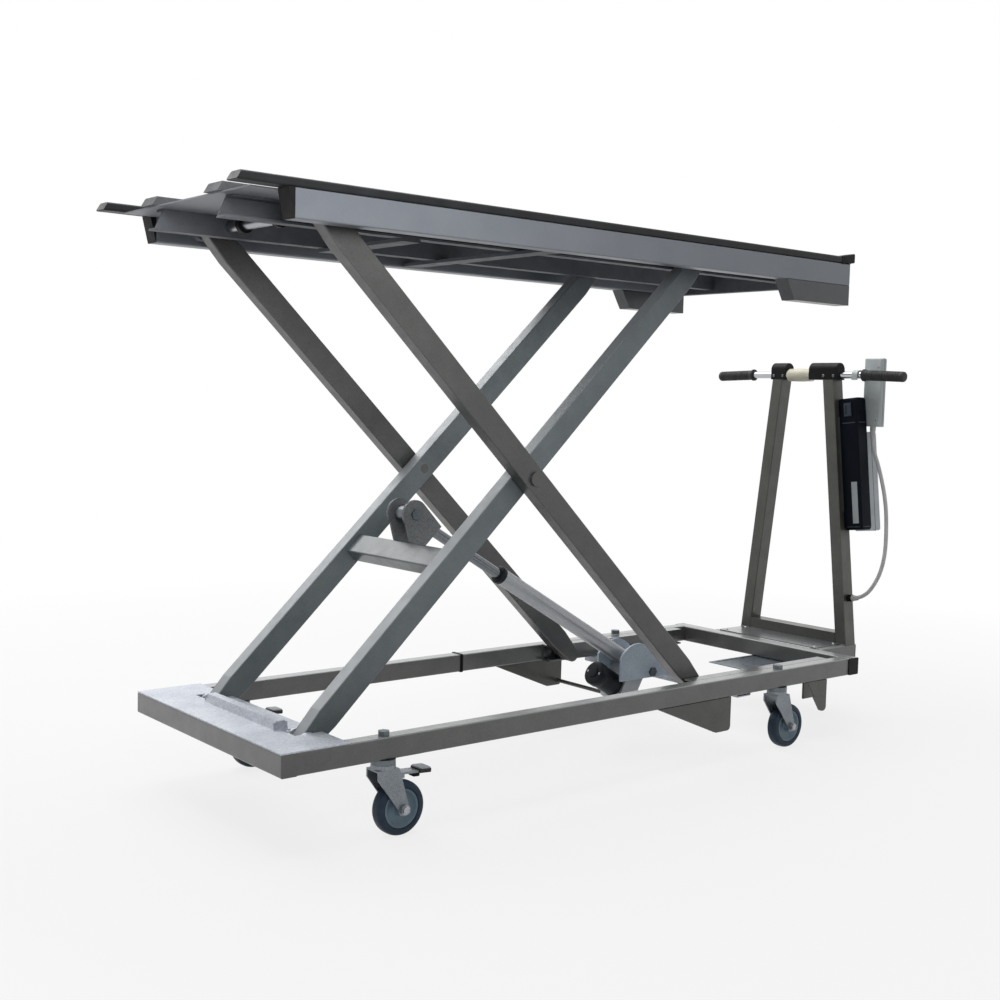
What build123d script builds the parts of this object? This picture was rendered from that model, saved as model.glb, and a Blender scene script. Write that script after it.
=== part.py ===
from build123d import *
import os
from math import atan2, cos, hypot, radians, sin, tan

# Funeral trolley: a wheeled tube frame carries an electric scissor lift with a narrow body table,
# and a leaning handle frame with the battery, control box and handset at the rear end.
# Millimetres. X runs along the trolley with the handle at +X, the left side is -Y, Z is up.
# The trolley stands raised. Stations along X are counted from the front face of the base.

# Base frame of rectangular tube
base_width = 700.0
base_length = 1968.0
rail_width = 40.0
rail_height = 50.0
tube_wall = 3.0
tube_corner = 4.0
ground_clearance = 180.0
rear_bar_width = 45.0
deck_plate_thickness = 3.0
front_deck_length = 168.0
tail_length = 178.0
tail_spacing = 386.0
cap_thickness = 3.0
bracket_thickness = 8.0
bracket_gap = 1.5
bracket_length = 64.0
bracket_rise = 4.0
ridge_start = 85.0
ridge_length = 40.0
ridge_height = 18.0
ridge_slope = 9.0
ridge_gap = 12.5

# Scissor lift
pivot_station = 134.0
arm_span = 1674.0
raised_angle = 43.6
arm_depth = 60.0
arm_thickness = 40.0
arm_end_radius = 22.0
arm_taper = 75.0
arm_corner = 3.0
arm_side_gap = 5.0
pivot_shaft_diameter = 25.0
bush_wall = 5.5
running_clearance = 0.05
notch_clearance = 2.0

# Rollers and the channels they run in
roller_diameter = 38.0
roller_width = 22.0
roller_chamfer = 1.0
roller_axle_diameter = 16.0
roller_side_clearance = 0.5
roller_clearance = 0.4
channel_wall = 5.0
channel_depth = 34.0
channel_gap = 4.0
base_track_start = 1290.0
base_track_margin = 53.0
axle_washer_thickness = 2.0
axle_washer_margin = 5.0

# Table
table_inset = 5.0
table_rail_width = 45.0
table_rail_drop = 35.0
table_rail_start = 19.0
table_rail_end = 1851.0
table_rail_wall = 2.5
table_end_bevel = 15.0
table_deck_thickness = 3.0
edge_bar_height = 20.0
edge_bar_front = -113.0
edge_bar_rear = 1872.0
edge_bar_bevel = 12.0
edge_bar_rounding = 6.0
deck_front = -60.0
track_front = -55.0
track_bevel = 22.0
track_rear = 1822.0
cross_bar_width = 50.0
cross_bar_thickness = 8.0
cross_bar_front = 420.0
cross_bar_middle = 760.0
rear_cross_bar_width = 28.0
pivot_lug_length = 56.0
collar_diameter = 40.0
collar_width = 14.0
collar_place = 80.0
deck_bar_width = 64.0
deck_bar_front = -72.0
deck_bar_rounding = 3.0
end_foot_drop = 56.0
end_foot_top = 1572.0
end_foot_bottom = 1606.0
end_foot_wall = 3.0
end_plug_length = 16.0

# Linear actuator
actuator_foot_station = 1400.0
actuator_foot_z = 196.0
actuator_pin_along = 632.0
actuator_pin_above = 58.0
lowered_angle = 8.0
actuator_tube_diameter = 45.0
actuator_tube_end = 632.0
rod_diameter = 28.0
rod_tail_margin = 10.0
rod_bore_floor = 85.0
rod_clearance = 0.1
eye_radius = 22.0
eye_thickness = 36.0
eye_bush_radius = 12.0
foot_eye_radius = 20.0
gearbox_start = 15.0
gearbox_length = 60.0
gearbox_width = 78.0
gearbox_above = 32.0
gearbox_below = 122.0
gearbox_corner = 12.0
motor_diameter = 66.0
motor_length = 92.0
motor_offset = 84.0
motor_rounding = 6.0
actuator_pin_diameter = 14.0
foot_cheek_thickness = 6.0
foot_cheek_gap = 4.0
foot_cheek_front = 1272.0
foot_cheek_rear = 1522.0
foot_cheek_brow = 66.0
foot_cheek_top = 104.0
foot_cheek_heel = 76.0
foot_cheek_tip = 8.0
foot_tube_station = 1498.0
foot_tube_width = 60.0
foot_tube_depth = 20.0
upper_cheek_thickness = 8.0
upper_cheek_radius = 36.0
upper_cheek_gap = 12.0
cross_tube_along = 545.0
cross_tube_width = 60.0
cross_tube_depth = 40.0
cross_tube_drop = 12.0

# Skids under the side rails
skid_thickness = 8.0
skid_front_start = 1115.0
skid_front_end = 1399.0
skid_rear_start = 1732.0
skid_rear_end = 1822.0
skid_drop = 92.0
skid_front_flat = 58.0
skid_rear_flat = 24.0
skid_toe_radius = 12.0
tie_rod_diameter = 12.0
tie_rod_inset = 14.0

# Casters
caster_front_station = 268.0
caster_rear_station = 1618.0
caster_trail = 42.0
wheel_diameter = 125.0
wheel_width = 32.0
tyre_thickness = 18.0
tyre_rounding = 6.0
hub_recess = 5.0
hub_boss_radius = 15.0
wheel_gap = 0.3
fork_gap = 4.0
fork_wall = 4.0
fork_top_z = 158.0
fork_crown_length = 56.0
fork_foot_radius = 15.0
fork_shoulder = 20.0
race_radius = 28.0
race_gap = 0.4
head_thickness = 12.0
stem_diameter = 14.0
stem_nut_width = 24.0
stem_nut_height = 11.0
axle_diameter = 12.0
axle_head_diameter = 20.0
axle_head_height = 6.0
pedal_length = 98.0
pedal_width = 30.0
pedal_thickness = 5.0
pedal_pin_diameter = 8.0
pedal_pad_length = 30.0
pedal_rise = -6.0
pedal_pin_back = 22.0
pedal_pin_drop = 11.0
pedal_pad_margin = 8.0
pedal_pad_height = 6.0
shoe_reach = 18.0
shoe_length = 20.0
shoe_drop = 12.0

# Handle frame
post_behind = 152.5
post_width = 40.0
post_depth = 50.0
post_wall = 2.5
post_corner = 3.0
post_top_z = 1062.0
post_top_spacing = 200.0
foot_tube_height = 32.0
handlebar_z = 1077.0
handlebar_diameter = 22.0
handlebar_wall = 2.0
handlebar_length = 720.0
handlebar_end_length = 150.0
handlebar_droop = 5.0
handlebar_bend_radius = 80.0
grip_diameter = 32.0
grip_length = 148.0
grip_end_thickness = 4.0
grip_flange = 3.0
grip_flange_length = 6.0
clamp_width = 62.0
clamp_height = 54.0
clamp_depth = 44.0
clamp_extra = 48.0
clamp_rounding = 4.0
bar_sleeve_diameter = 40.0

# Battery, control box and handset on the left post
pack_centre_z = 793.0
pack_plate_thickness = 4.0
pack_plate_height = 300.0
pack_setback = 20.0
battery_depth = 50.0
battery_width = 65.0
battery_height = 415.0
battery_corner = 12.0
pack_gap = 2.0
control_depth = 58.0
control_width = 56.0
control_height = 312.0
control_rise = -56.0
control_corner = 8.0
pack_rounding = 4.0
handset_width = 65.0
handset_depth = 28.0
handset_height = 213.0
handset_bottom_z = 918.0
handset_outset = 4.0
handset_corner = 6.0
handset_rounding = 4.0
handset_gap = 50.0
hook_thickness = 4.0
hook_width = 20.0
hook_inset = 22.0
hook_clearance = 0.3
button_diameter = 20.0
button_proud = 3.0
button_rounding = 1.0
button_depth = 6.0
button_travel = 2.0
button_clearance = 0.3
button_spacing = 44.0
button_rise = 34.0
relief_diameter = 18.0
relief_length = 12.0
gland_diameter = 24.0
gland_length = 16.0
gland_z = 375.0
cable_diameter = 12.0
cable_drop = 50.0
cable_lead = 42.0
cable_bend_share = 0.45
cable_route = (
    (64.0, 113.0, 793.0),
    (58.0, 136.0, 690.0),
    (46.0, 142.0, 600.0),
    (30.0, 142.0, 515.0),
    (14.0, 124.0, 445.0),
)

# Places worked out from the driving dimensions
rail_top = ground_clearance + rail_height
rail_y = (base_width - rail_width) / 2
rail_inner = base_width / 2 - rail_width
base_track_end = base_length - rear_bar_width - base_track_margin
pivot_z = ground_clearance + rail_height / 2
table_pivot_z = pivot_z + arm_span * sin(radians(raised_angle))
falling_outer = rail_inner - channel_depth - channel_gap
falling_inner = falling_outer - arm_thickness
rising_outer = falling_inner - arm_side_gap
rising_inner = rising_outer - arm_thickness
channel_height = roller_diameter + 2 * roller_clearance + 2 * channel_wall
table_half = base_width / 2 - table_inset
table_inner = table_half - table_rail_width
deck_bottom_z = table_pivot_z + channel_height / 2
deck_top_z = deck_bottom_z + table_deck_thickness
table_rail_bottom = table_pivot_z - table_rail_drop
table_rail_height = deck_top_z - table_rail_bottom
wheel_radius = wheel_diameter / 2
fork_inside = wheel_width / 2 + fork_gap
post_station = base_length + post_behind
pack_front = pack_setback - post_depth / 2
pack_rear = pack_front + battery_depth + pack_gap + control_depth
overall_rear = post_station + pack_rear
front_x = -(edge_bar_front + overall_rear) / 2


def station(distance):
    """X of a place given as its distance behind the front face of the base."""
    return front_x + distance


def save(part, name):
    """Label one finished piece and write it to its own file."""
    part.label = name
    export_step(part, f"parts/{name}.step")


def arm_plane(angle, x, z, y):
    """Sketch plane on an arm's outer side: x along the arm, y square to it, facing the left side."""
    direction = (cos(radians(angle)), 0, sin(radians(angle)))
    return Plane(origin=(x, y, z), x_dir=direction, z_dir=(0, -1, 0))


def rectangular_tube(width, height, wall, corner):
    """Hollow rounded section, drawn at the current sketch locations."""
    RectangleRounded(width, height, corner)
    Rectangle(width - 2 * wall, height - 2 * wall, mode=Mode.SUBTRACT)


def channel_profile(depth, height, wall):
    """C section with its back at local x = 0 and its open side towards +x."""
    side = (Align.MIN, Align.CENTER)
    Rectangle(depth, height, align=side)
    with Locations((wall, 0)):
        Rectangle(depth - wall, height - 2 * wall, align=side, mode=Mode.SUBTRACT)


os.makedirs("parts", exist_ok=True)

# Base frame
caster_stations = (caster_front_station, caster_rear_station)
stem_places = [(station(place), side * rail_y) for place in caster_stations for side in (-1, 1)]

with BuildPart() as side_rails:
    with BuildSketch(Plane.YZ.offset(station(rail_width))):
        with Locations((-rail_y, pivot_z), (rail_y, pivot_z)):
            rectangular_tube(rail_width, rail_height, tube_wall, tube_corner)
    extrude(amount=base_length - rail_width - rear_bar_width)
    with BuildSketch(Plane.XY.offset(ground_clearance)):
        with Locations(*stem_places):
            Circle(stem_diameter / 2)
    extrude(amount=rail_height, mode=Mode.SUBTRACT)
save(side_rails.part, "side_rails")

with BuildPart() as base_bars:
    with BuildSketch(Plane.XZ.offset(-base_width / 2)):
        with Locations((station(rail_width / 2), pivot_z)):
            rectangular_tube(rail_width, rail_height, tube_wall, tube_corner)
        with Locations((station(base_length - rear_bar_width / 2), pivot_z)):
            rectangular_tube(rear_bar_width, rail_height, tube_wall, tube_corner)
    extrude(amount=base_width)
    for face, depth in ((base_width / 2, -cap_thickness), (-base_width / 2, cap_thickness)):
        with BuildSketch(Plane.XZ.offset(face)):
            with Locations((station(rail_width / 2), pivot_z)):
                Rectangle(rail_width - 2 * tube_wall, rail_height - 2 * tube_wall)
        extrude(amount=depth)
save(base_bars.part, "base_bars")

with BuildPart() as tail_tubes:
    with BuildSketch(Plane.YZ.offset(station(base_length))):
        with Locations((-tail_spacing / 2, pivot_z), (tail_spacing / 2, pivot_z)):
            rectangular_tube(rail_width, rail_height, tube_wall, tube_corner)
    extrude(amount=tail_length)
save(tail_tubes.part, "tail_tubes")

tail_end = station(base_length + tail_length)
with BuildPart() as tube_caps:
    with BuildSketch(Plane.YZ.offset(tail_end)):
        with Locations((-tail_spacing / 2, pivot_z), (tail_spacing / 2, pivot_z)):
            RectangleRounded(rail_width, rail_height, tube_corner)
    extrude(amount=cap_thickness)
    for face, depth in ((base_width / 2, cap_thickness), (-base_width / 2, -cap_thickness)):
        with BuildSketch(Plane.XZ.offset(face)):
            with Locations((station(base_length - rear_bar_width / 2), pivot_z)):
                RectangleRounded(rear_bar_width, rail_height, tube_corner)
        extrude(amount=depth)
save(tube_caps.part, "tube_caps")

notch_width = arm_thickness + 2 * (bracket_gap + bracket_thickness)
notch_start = pivot_station - bracket_length / 2 - notch_clearance
rising_mid = (rising_outer + rising_inner) / 2
ridge_span = 2 * (rising_inner - bracket_gap - bracket_thickness - ridge_gap)
with BuildPart() as front_deck_plate:
    with BuildSketch(Plane.XY.offset(rail_top)):
        with Locations((station(front_deck_length / 2), 0)):
            Rectangle(front_deck_length, base_width)
        with Locations(
            (station((notch_start + front_deck_length) / 2), -rising_mid),
            (station((notch_start + front_deck_length) / 2), rising_mid),
        ):
            Rectangle(front_deck_length - notch_start, notch_width, mode=Mode.SUBTRACT)
    extrude(amount=deck_plate_thickness)
    for rim, mode in ((0, Mode.ADD), (deck_plate_thickness, Mode.SUBTRACT)):
        with BuildSketch(Plane.XZ.offset(-ridge_span / 2)):
            with BuildLine():
                ridge_top = rail_top + deck_plate_thickness + ridge_height - rim
                ridge_front = station(ridge_start) + rim
                ridge_rear = station(ridge_start + ridge_length) - rim
                Polyline(
                    (ridge_front, rail_top),
                    (ridge_front + ridge_slope, ridge_top),
                    (ridge_rear - ridge_slope, ridge_top),
                    (ridge_rear, rail_top),
                    close=True,
                )
            make_face()
        extrude(amount=ridge_span, mode=mode)
save(front_deck_plate.part, "front_deck_plate")

with BuildPart() as arm_foot_brackets:
    for face in (rising_outer + bracket_gap, rising_inner - bracket_gap - bracket_thickness):
        with BuildSketch(Plane.XZ.offset(face)):
            with BuildLine():
                left = station(pivot_station) - bracket_length / 2
                right = left + bracket_length
                shoulder = rail_top + bracket_rise - bracket_length / 2
                crown = (station(pivot_station), rail_top + bracket_rise)
                Line((left, ground_clearance), (right, ground_clearance))
                Line((right, ground_clearance), (right, shoulder))
                ThreePointArc((right, shoulder), crown, (left, shoulder))
                Line((left, shoulder), (left, ground_clearance))
            make_face()
            with Locations((station(pivot_station), pivot_z)):
                Circle(pivot_shaft_diameter / 2, mode=Mode.SUBTRACT)
        extrude(amount=bracket_thickness)
    mirror(about=Plane.XZ)
save(arm_foot_brackets.part, "arm_foot_brackets")

with BuildPart() as lower_pivot_shaft:
    with BuildSketch(Plane.XZ.offset(-rail_inner)):
        with Locations((station(pivot_station), pivot_z)):
            Circle(pivot_shaft_diameter / 2)
    extrude(amount=2 * rail_inner)
save(lower_pivot_shaft.part, "lower_pivot_shaft")

with BuildPart() as base_tracks:
    track_start = (station(base_track_start), -rail_inner, pivot_z)
    track_plane = Plane(origin=track_start, x_dir=(0, 1, 0), z_dir=(1, 0, 0))
    with BuildSketch(track_plane):
        channel_profile(channel_depth, channel_height, channel_wall)
    extrude(amount=base_track_end - base_track_start)
    mirror(about=Plane.XZ)
save(base_tracks.part, "base_tracks")

with BuildPart() as skid_plates:
    for start, end, flat in (
        (skid_front_start, skid_front_end, skid_front_flat),
        (skid_rear_start, skid_rear_end, skid_rear_flat),
    ):
        with BuildSketch(Plane.XZ.offset(base_width / 2 - skid_thickness)) as skid_side:
            with BuildLine():
                low = ground_clearance - skid_drop
                Polyline(
                    (station(start), ground_clearance),
                    (station(end), ground_clearance),
                    (station(end), low),
                    (station(end - flat), low),
                    close=True,
                )
            make_face()
            fillet(skid_side.vertices().group_by(Axis.Y)[0], radius=skid_toe_radius)
        extrude(amount=skid_thickness)
    mirror(about=Plane.XZ)

tie_rod_z = ground_clearance - skid_drop + tie_rod_inset
with BuildPart() as skid_tie_rod:
    with BuildSketch(Plane.XZ.offset(skid_thickness - base_width / 2)):
        with Locations((station(skid_front_end - tie_rod_inset), tie_rod_z)):
            Circle(tie_rod_diameter / 2)
    extrude(amount=base_width - 2 * skid_thickness)
save(Compound(children=[skid_plates.part, skid_tie_rod.part]), "skid_plates")

foot_tube_top = pivot_z - channel_height / 2
with BuildPart() as actuator_cross_tube:
    with BuildSketch(Plane.XZ.offset(-rail_inner)):
        with Locations((station(foot_tube_station), foot_tube_top - foot_tube_depth / 2)):
            rectangular_tube(foot_tube_width, foot_tube_depth, tube_wall, tube_corner)
    extrude(amount=2 * rail_inner)
save(actuator_cross_tube.part, "actuator_cross_tube")

# Actuator foot bracket: two curved cheeks on the cross tube
foot_x = station(actuator_foot_station)
cheek_inner = gearbox_width / 2 + foot_cheek_gap
with BuildPart() as actuator_foot_bracket:
    with BuildSketch(Plane.XZ.offset(cheek_inner)):
        with BuildLine():
            front = station(foot_cheek_front)
            rear = station(foot_cheek_rear)
            brow = (front, foot_tube_top + foot_cheek_brow)
            crown = ((front + foot_x) / 2, foot_tube_top + foot_cheek_top)
            heel = (foot_x, foot_tube_top + foot_cheek_heel)
            tip = (rear, foot_tube_top + foot_cheek_tip)
            Polyline(tip, (rear, foot_tube_top), (front, foot_tube_top), brow)
            ThreePointArc(brow, crown, heel)
            Line(heel, tip)
        make_face()
        with Locations((foot_x, actuator_foot_z)):
            Circle(actuator_pin_diameter / 2, mode=Mode.SUBTRACT)
    extrude(amount=foot_cheek_thickness)
    mirror(about=Plane.XZ)
save(actuator_foot_bracket.part, "actuator_foot_bracket")

with BuildPart() as actuator_foot_pin:
    pin_reach = cheek_inner + foot_cheek_thickness
    with BuildSketch(Plane.XZ.offset(-pin_reach)):
        with Locations((foot_x, actuator_foot_z)):
            Circle(actuator_pin_diameter / 2)
    extrude(amount=2 * pin_reach)
    for face, height in ((pin_reach, axle_head_height), (-pin_reach, -axle_head_height)):
        with BuildSketch(Plane.XZ.offset(face)):
            with Locations((foot_x, actuator_foot_z)):
                RegularPolygon(actuator_pin_diameter, 6)
        extrude(amount=height)
save(actuator_foot_pin.part, "actuator_foot_pin")

# Scissor arms: rectangular tubes with rounded cheek ends, bushes and stub axles

def scissor_arm(plane, bush_bores):
    """One arm on its plane, drawn towards local z, with a bush at each station of bush_bores."""
    half = arm_depth / 2
    with BuildPart() as arm:
        with BuildSketch(plane):
            with BuildLine():
                Polyline(
                    (0, arm_end_radius),
                    (arm_taper, half),
                    (arm_span - arm_taper, half),
                    (arm_span, arm_end_radius),
                )
                ThreePointArc(
                    (arm_span, arm_end_radius),
                    (arm_span + arm_end_radius, 0),
                    (arm_span, -arm_end_radius),
                )
                Polyline(
                    (arm_span, -arm_end_radius),
                    (arm_span - arm_taper, -half),
                    (arm_taper, -half),
                    (0, -arm_end_radius),
                )
                ThreePointArc((0, -arm_end_radius), (-arm_end_radius, 0), (0, arm_end_radius))
            make_face()
        extrude(amount=arm_thickness)
        fillet(arm.edges().filter_by(Axis.Y, reverse=True), radius=arm_corner)
        with BuildSketch(plane.offset(tube_wall)):
            with Locations((arm_span / 2, 0)):
                Rectangle(arm_span + 4 * arm_end_radius, arm_depth - 2 * tube_wall)
        extrude(amount=arm_thickness - 2 * tube_wall, mode=Mode.SUBTRACT)
        for place, bore in bush_bores:
            with BuildSketch(plane):
                with Locations((place, 0)):
                    Circle(bore + bush_wall)
            extrude(amount=arm_thickness)
            with BuildSketch(plane):
                with Locations((place, 0)):
                    Circle(bore)
            extrude(amount=arm_thickness, mode=Mode.SUBTRACT)
    return arm.part


pivot_x = station(pivot_station)
shaft_radius = pivot_shaft_diameter / 2
axle_radius = roller_axle_diameter / 2
running_bore = shaft_radius + running_clearance
rising_plane = arm_plane(raised_angle, pivot_x, pivot_z, -rising_inner)
falling_plane = arm_plane(-raised_angle, pivot_x, table_pivot_z, -falling_inner)
roller_x = pivot_x + arm_span * cos(radians(raised_angle))

rising_bores = ((0, running_bore), (arm_span / 2, shaft_radius), (arm_span, axle_radius))
# Stub axles: a plug in the arm's bush, a spacer, the journal and an end washer
spacer = channel_gap + roller_side_clearance
journal = roller_width + 2 * roller_side_clearance


def stub_axle(z, arm_far_face, outward):
    """Left-hand roller axle from the arm's far face through the arm towards the channel."""
    reach = arm_thickness + spacer
    steps = (
        (0, reach + journal, axle_radius),
        (arm_thickness, spacer, axle_radius + axle_washer_margin),
        (reach + journal, axle_washer_thickness, axle_radius + axle_washer_margin),
    )
    with BuildPart() as axle:
        for start, length, radius in steps:
            with BuildSketch(Plane.XZ.offset(arm_far_face + outward * start)):
                with Locations((roller_x, z)):
                    Circle(radius)
            extrude(amount=outward * length)
    return axle.part


def roller(z, face, outward, side):
    """Track roller with its near face at the given distance from the middle plane."""
    with BuildPart() as wheel:
        with BuildSketch(Plane.XZ.offset(side * face)):
            with Locations((roller_x, z)):
                Circle(roller_diameter / 2)
                Circle(axle_radius + running_clearance, mode=Mode.SUBTRACT)
        extrude(amount=side * outward * roller_width)
        chamfer(wheel.edges().filter_by(GeomType.CIRCLE).group_by(SortBy.RADIUS)[-1], length=roller_chamfer)
    return wheel.part


rising_left = scissor_arm(rising_plane, rising_bores)
rising_axle = stub_axle(table_pivot_z, rising_outer, -1)
rising_right = [piece.mirror(Plane.XZ) for piece in (rising_left, rising_axle)]
save(Compound(children=[rising_left, rising_axle, *rising_right]), "rising_arms")

falling_bores = ((0, running_bore), (arm_span / 2, running_bore), (arm_span, axle_radius))
falling_left = scissor_arm(falling_plane, falling_bores)
falling_axle = stub_axle(pivot_z, falling_inner, 1)
falling_right = [piece.mirror(Plane.XZ) for piece in (falling_left, falling_axle)]
save(Compound(children=[falling_left, falling_axle, *falling_right]), "falling_arms")

base_roller_face = falling_outer + spacer + roller_side_clearance
table_roller_face = rising_inner - spacer - roller_side_clearance
for name, side in (("left", 1), ("right", -1)):
    save(roller(pivot_z, base_roller_face, 1, side), f"base_roller_{name}")
    save(roller(table_pivot_z, table_roller_face, -1, side), f"table_roller_{name}")

centre_x = pivot_x + arm_span / 2 * cos(radians(raised_angle))
centre_z = pivot_z + arm_span / 2 * sin(radians(raised_angle))
pin_head_gap = 0.5
with BuildPart() as centre_pivot_pins:
    with BuildSketch(Plane.XZ.offset(rising_inner)):
        with Locations((centre_x, centre_z)):
            Circle(shaft_radius)
    extrude(amount=falling_outer + pin_head_gap - rising_inner)
    with BuildSketch(Plane.XZ.offset(falling_outer + pin_head_gap)):
        with Locations((centre_x, centre_z)):
            Circle(shaft_radius + bush_wall)
    extrude(amount=axle_head_height)
    with BuildSketch(Plane.XZ.offset(rising_outer)):
        with Locations((centre_x, centre_z)):
            Circle(shaft_radius + bush_wall)
    extrude(amount=arm_side_gap - pin_head_gap)
    mirror(about=Plane.XZ)
save(centre_pivot_pins.part, "centre_pivot_pins")

# Cross tube and upper actuator bracket between the rising arms
along_plane = arm_plane(raised_angle, pivot_x, pivot_z, rising_inner)
cross_tube_y = arm_depth / 2 - cross_tube_drop - cross_tube_depth / 2
with BuildPart() as arm_cross_tube:
    with BuildSketch(along_plane):
        with Locations((cross_tube_along, cross_tube_y)):
            rectangular_tube(cross_tube_width, cross_tube_depth, tube_wall, tube_corner)
    extrude(amount=2 * rising_inner)
save(arm_cross_tube.part, "arm_cross_tube")

upper_cheek_inner = eye_thickness / 2 + upper_cheek_gap
cheek_foot = cross_tube_along + cross_tube_width / 2
with BuildPart() as actuator_upper_bracket:
    cheek_plane = arm_plane(raised_angle, pivot_x, pivot_z, -upper_cheek_inner)
    with BuildSketch(cheek_plane):
        with BuildLine():
            low = cross_tube_y - cross_tube_depth / 2
            rim = actuator_pin_above + upper_cheek_radius
            flank = actuator_pin_along + upper_cheek_radius
            Polyline(
                (actuator_pin_along - upper_cheek_radius, actuator_pin_above),
                (cheek_foot, cross_tube_y + cross_tube_depth / 2),
                (cheek_foot, low),
                (flank, low),
                (flank, actuator_pin_above),
            )
            ThreePointArc(
                (flank, actuator_pin_above),
                (actuator_pin_along, rim),
                (actuator_pin_along - upper_cheek_radius, actuator_pin_above),
            )
        make_face()
        with Locations((actuator_pin_along, actuator_pin_above)):
            Circle(actuator_pin_diameter / 2, mode=Mode.SUBTRACT)
    extrude(amount=upper_cheek_thickness)
    mirror(about=Plane.XZ)
save(actuator_upper_bracket.part, "actuator_upper_bracket")

with BuildPart() as upper_bracket_bolts:
    with BuildSketch(cheek_plane):
        with Locations((actuator_pin_along, actuator_pin_above)):
            Circle(actuator_pin_diameter / 2)
    extrude(amount=upper_cheek_thickness)
    with BuildSketch(cheek_plane.offset(upper_cheek_thickness)):
        with Locations((actuator_pin_along, actuator_pin_above)):
            RegularPolygon(actuator_pin_diameter, 6)
    extrude(amount=axle_head_height)
    mirror(about=Plane.XZ)
save(upper_bracket_bolts.part, "upper_bracket_bolts")

# Table
with BuildPart() as table_side_rails:
    with BuildSketch(Plane.YZ.offset(station(table_rail_start))):
        rail_mid_z = table_rail_bottom + table_rail_height / 2
        rail_mid_y = table_half - table_rail_width / 2
        with Locations((-rail_mid_y, rail_mid_z), (rail_mid_y, rail_mid_z)):
            rectangular_tube(table_rail_width, table_rail_height, table_rail_wall, tube_corner)
    extrude(amount=table_rail_end - table_rail_start)
save(table_side_rails.part, "table_side_rails")

with BuildPart() as table_end_plugs:
    with BuildSketch(Plane.XZ.offset(table_inner)):
        with BuildLine():
            plug_x = station(table_rail_start)
            Polyline(
                (plug_x, table_rail_bottom),
                (plug_x, deck_top_z),
                (plug_x - end_plug_length, deck_top_z),
                (plug_x - end_plug_length + table_end_bevel, table_rail_bottom),
                close=True,
            )
        make_face()
    extrude(amount=table_rail_width)
    mirror(about=Plane.XZ)
save(table_end_plugs.part, "table_end_plugs")

with BuildPart() as edge_bars:
    rear_centre = station(edge_bar_rear) - table_rail_width / 2
    with BuildSketch(Plane.XY.offset(deck_top_z)):
        with Locations((rear_centre, -rail_mid_y)):
            Circle(table_rail_width / 2)
            bar_length = rear_centre - station(edge_bar_front)
            Rectangle(bar_length, table_rail_width, align=(Align.MAX, Align.CENTER))
    extrude(amount=edge_bar_height)
    fillet(edge_bars.edges().filter_by(Axis.Z, reverse=True), radius=edge_bar_rounding)
    with BuildSketch(Plane.XZ):
        with BuildLine():
            bar_front_x = station(edge_bar_front)
            Polyline(
                (bar_front_x, deck_top_z),
                (bar_front_x + edge_bar_bevel, deck_top_z + edge_bar_height),
                (bar_front_x, deck_top_z + edge_bar_height),
                close=True,
            )
        make_face()
    extrude(amount=table_half, mode=Mode.SUBTRACT)
    mirror(about=Plane.XZ)
save(edge_bars.part, "edge_bars")

with BuildPart() as table_tracks:
    track_back = -(rising_inner - channel_gap - channel_depth)
    track_start = (station(track_front), track_back, table_pivot_z)
    track_plane = Plane(origin=track_start, x_dir=(0, -1, 0), z_dir=(1, 0, 0))
    with BuildSketch(track_plane):
        channel_profile(channel_depth, channel_height, channel_wall)
    extrude(amount=track_rear - track_front)
    with BuildSketch(Plane.XZ):
        with BuildLine():
            nose_x = station(track_front)
            track_top = table_pivot_z + channel_height / 2
            Polyline(
                (nose_x, track_top),
                (nose_x, track_top - channel_height),
                (nose_x + track_bevel, track_top),
                close=True,
            )
        make_face()
    extrude(amount=table_half, mode=Mode.SUBTRACT)
    with BuildSketch(Plane.XZ):
        with Locations((pivot_x, table_pivot_z)):
            Circle(shaft_radius)
    extrude(amount=table_half, mode=Mode.SUBTRACT)
    mirror(about=Plane.XZ)
save(table_tracks.part, "table_tracks")

with BuildPart() as table_deck:
    with BuildSketch(Plane.XY.offset(deck_bottom_z)):
        with Locations((station((deck_front + table_rail_end) / 2), 0)):
            Rectangle(table_rail_end - deck_front, 2 * table_inner)
    extrude(amount=table_deck_thickness)
save(table_deck.part, "table_deck")

with BuildPart() as deck_bars:
    with BuildSketch(Plane.XZ.offset(rising_inner - deck_bar_width)):
        with BuildLine():
            deck_bar_top = deck_top_z + edge_bar_height
            Polyline(
                (station(deck_bar_front), deck_top_z),
                (station(deck_bar_front) + edge_bar_bevel, deck_bar_top),
                (station(table_rail_end), deck_bar_top),
                (station(table_rail_end), deck_top_z),
                close=True,
            )
        make_face()
    extrude(amount=deck_bar_width)
    long_edges = deck_bars.edges().filter_by(Axis.X).group_by(Axis.Z)[-1]
    fillet(long_edges, radius=deck_bar_rounding)
    mirror(about=Plane.XZ)
save(deck_bars.part, "deck_bars")

cross_bar_top = table_pivot_z - channel_height / 2
with BuildPart() as table_cross_bars:
    with BuildSketch(Plane.XY.offset(cross_bar_top)):
        with Locations((station(cross_bar_front), 0)):
            Rectangle(cross_bar_width, 2 * (rising_inner - channel_gap))
        with Locations((station(cross_bar_middle), 0)):
            Rectangle(cross_bar_width, 2 * table_inner)
    extrude(amount=-cross_bar_thickness)
    with BuildSketch(Plane.XZ.offset(-table_inner)):
        rear_bar_x = station(table_rail_end) - rear_cross_bar_width / 2
        with Locations((rear_bar_x, rail_mid_z - table_deck_thickness / 2)):
            Rectangle(rear_cross_bar_width, table_rail_height - table_deck_thickness)
            Rectangle(
                rear_cross_bar_width - 2 * table_rail_wall,
                table_rail_height - table_deck_thickness - 2 * table_rail_wall,
                mode=Mode.SUBTRACT,
            )
    extrude(amount=2 * table_inner)
save(table_cross_bars.part, "table_cross_bars")

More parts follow.
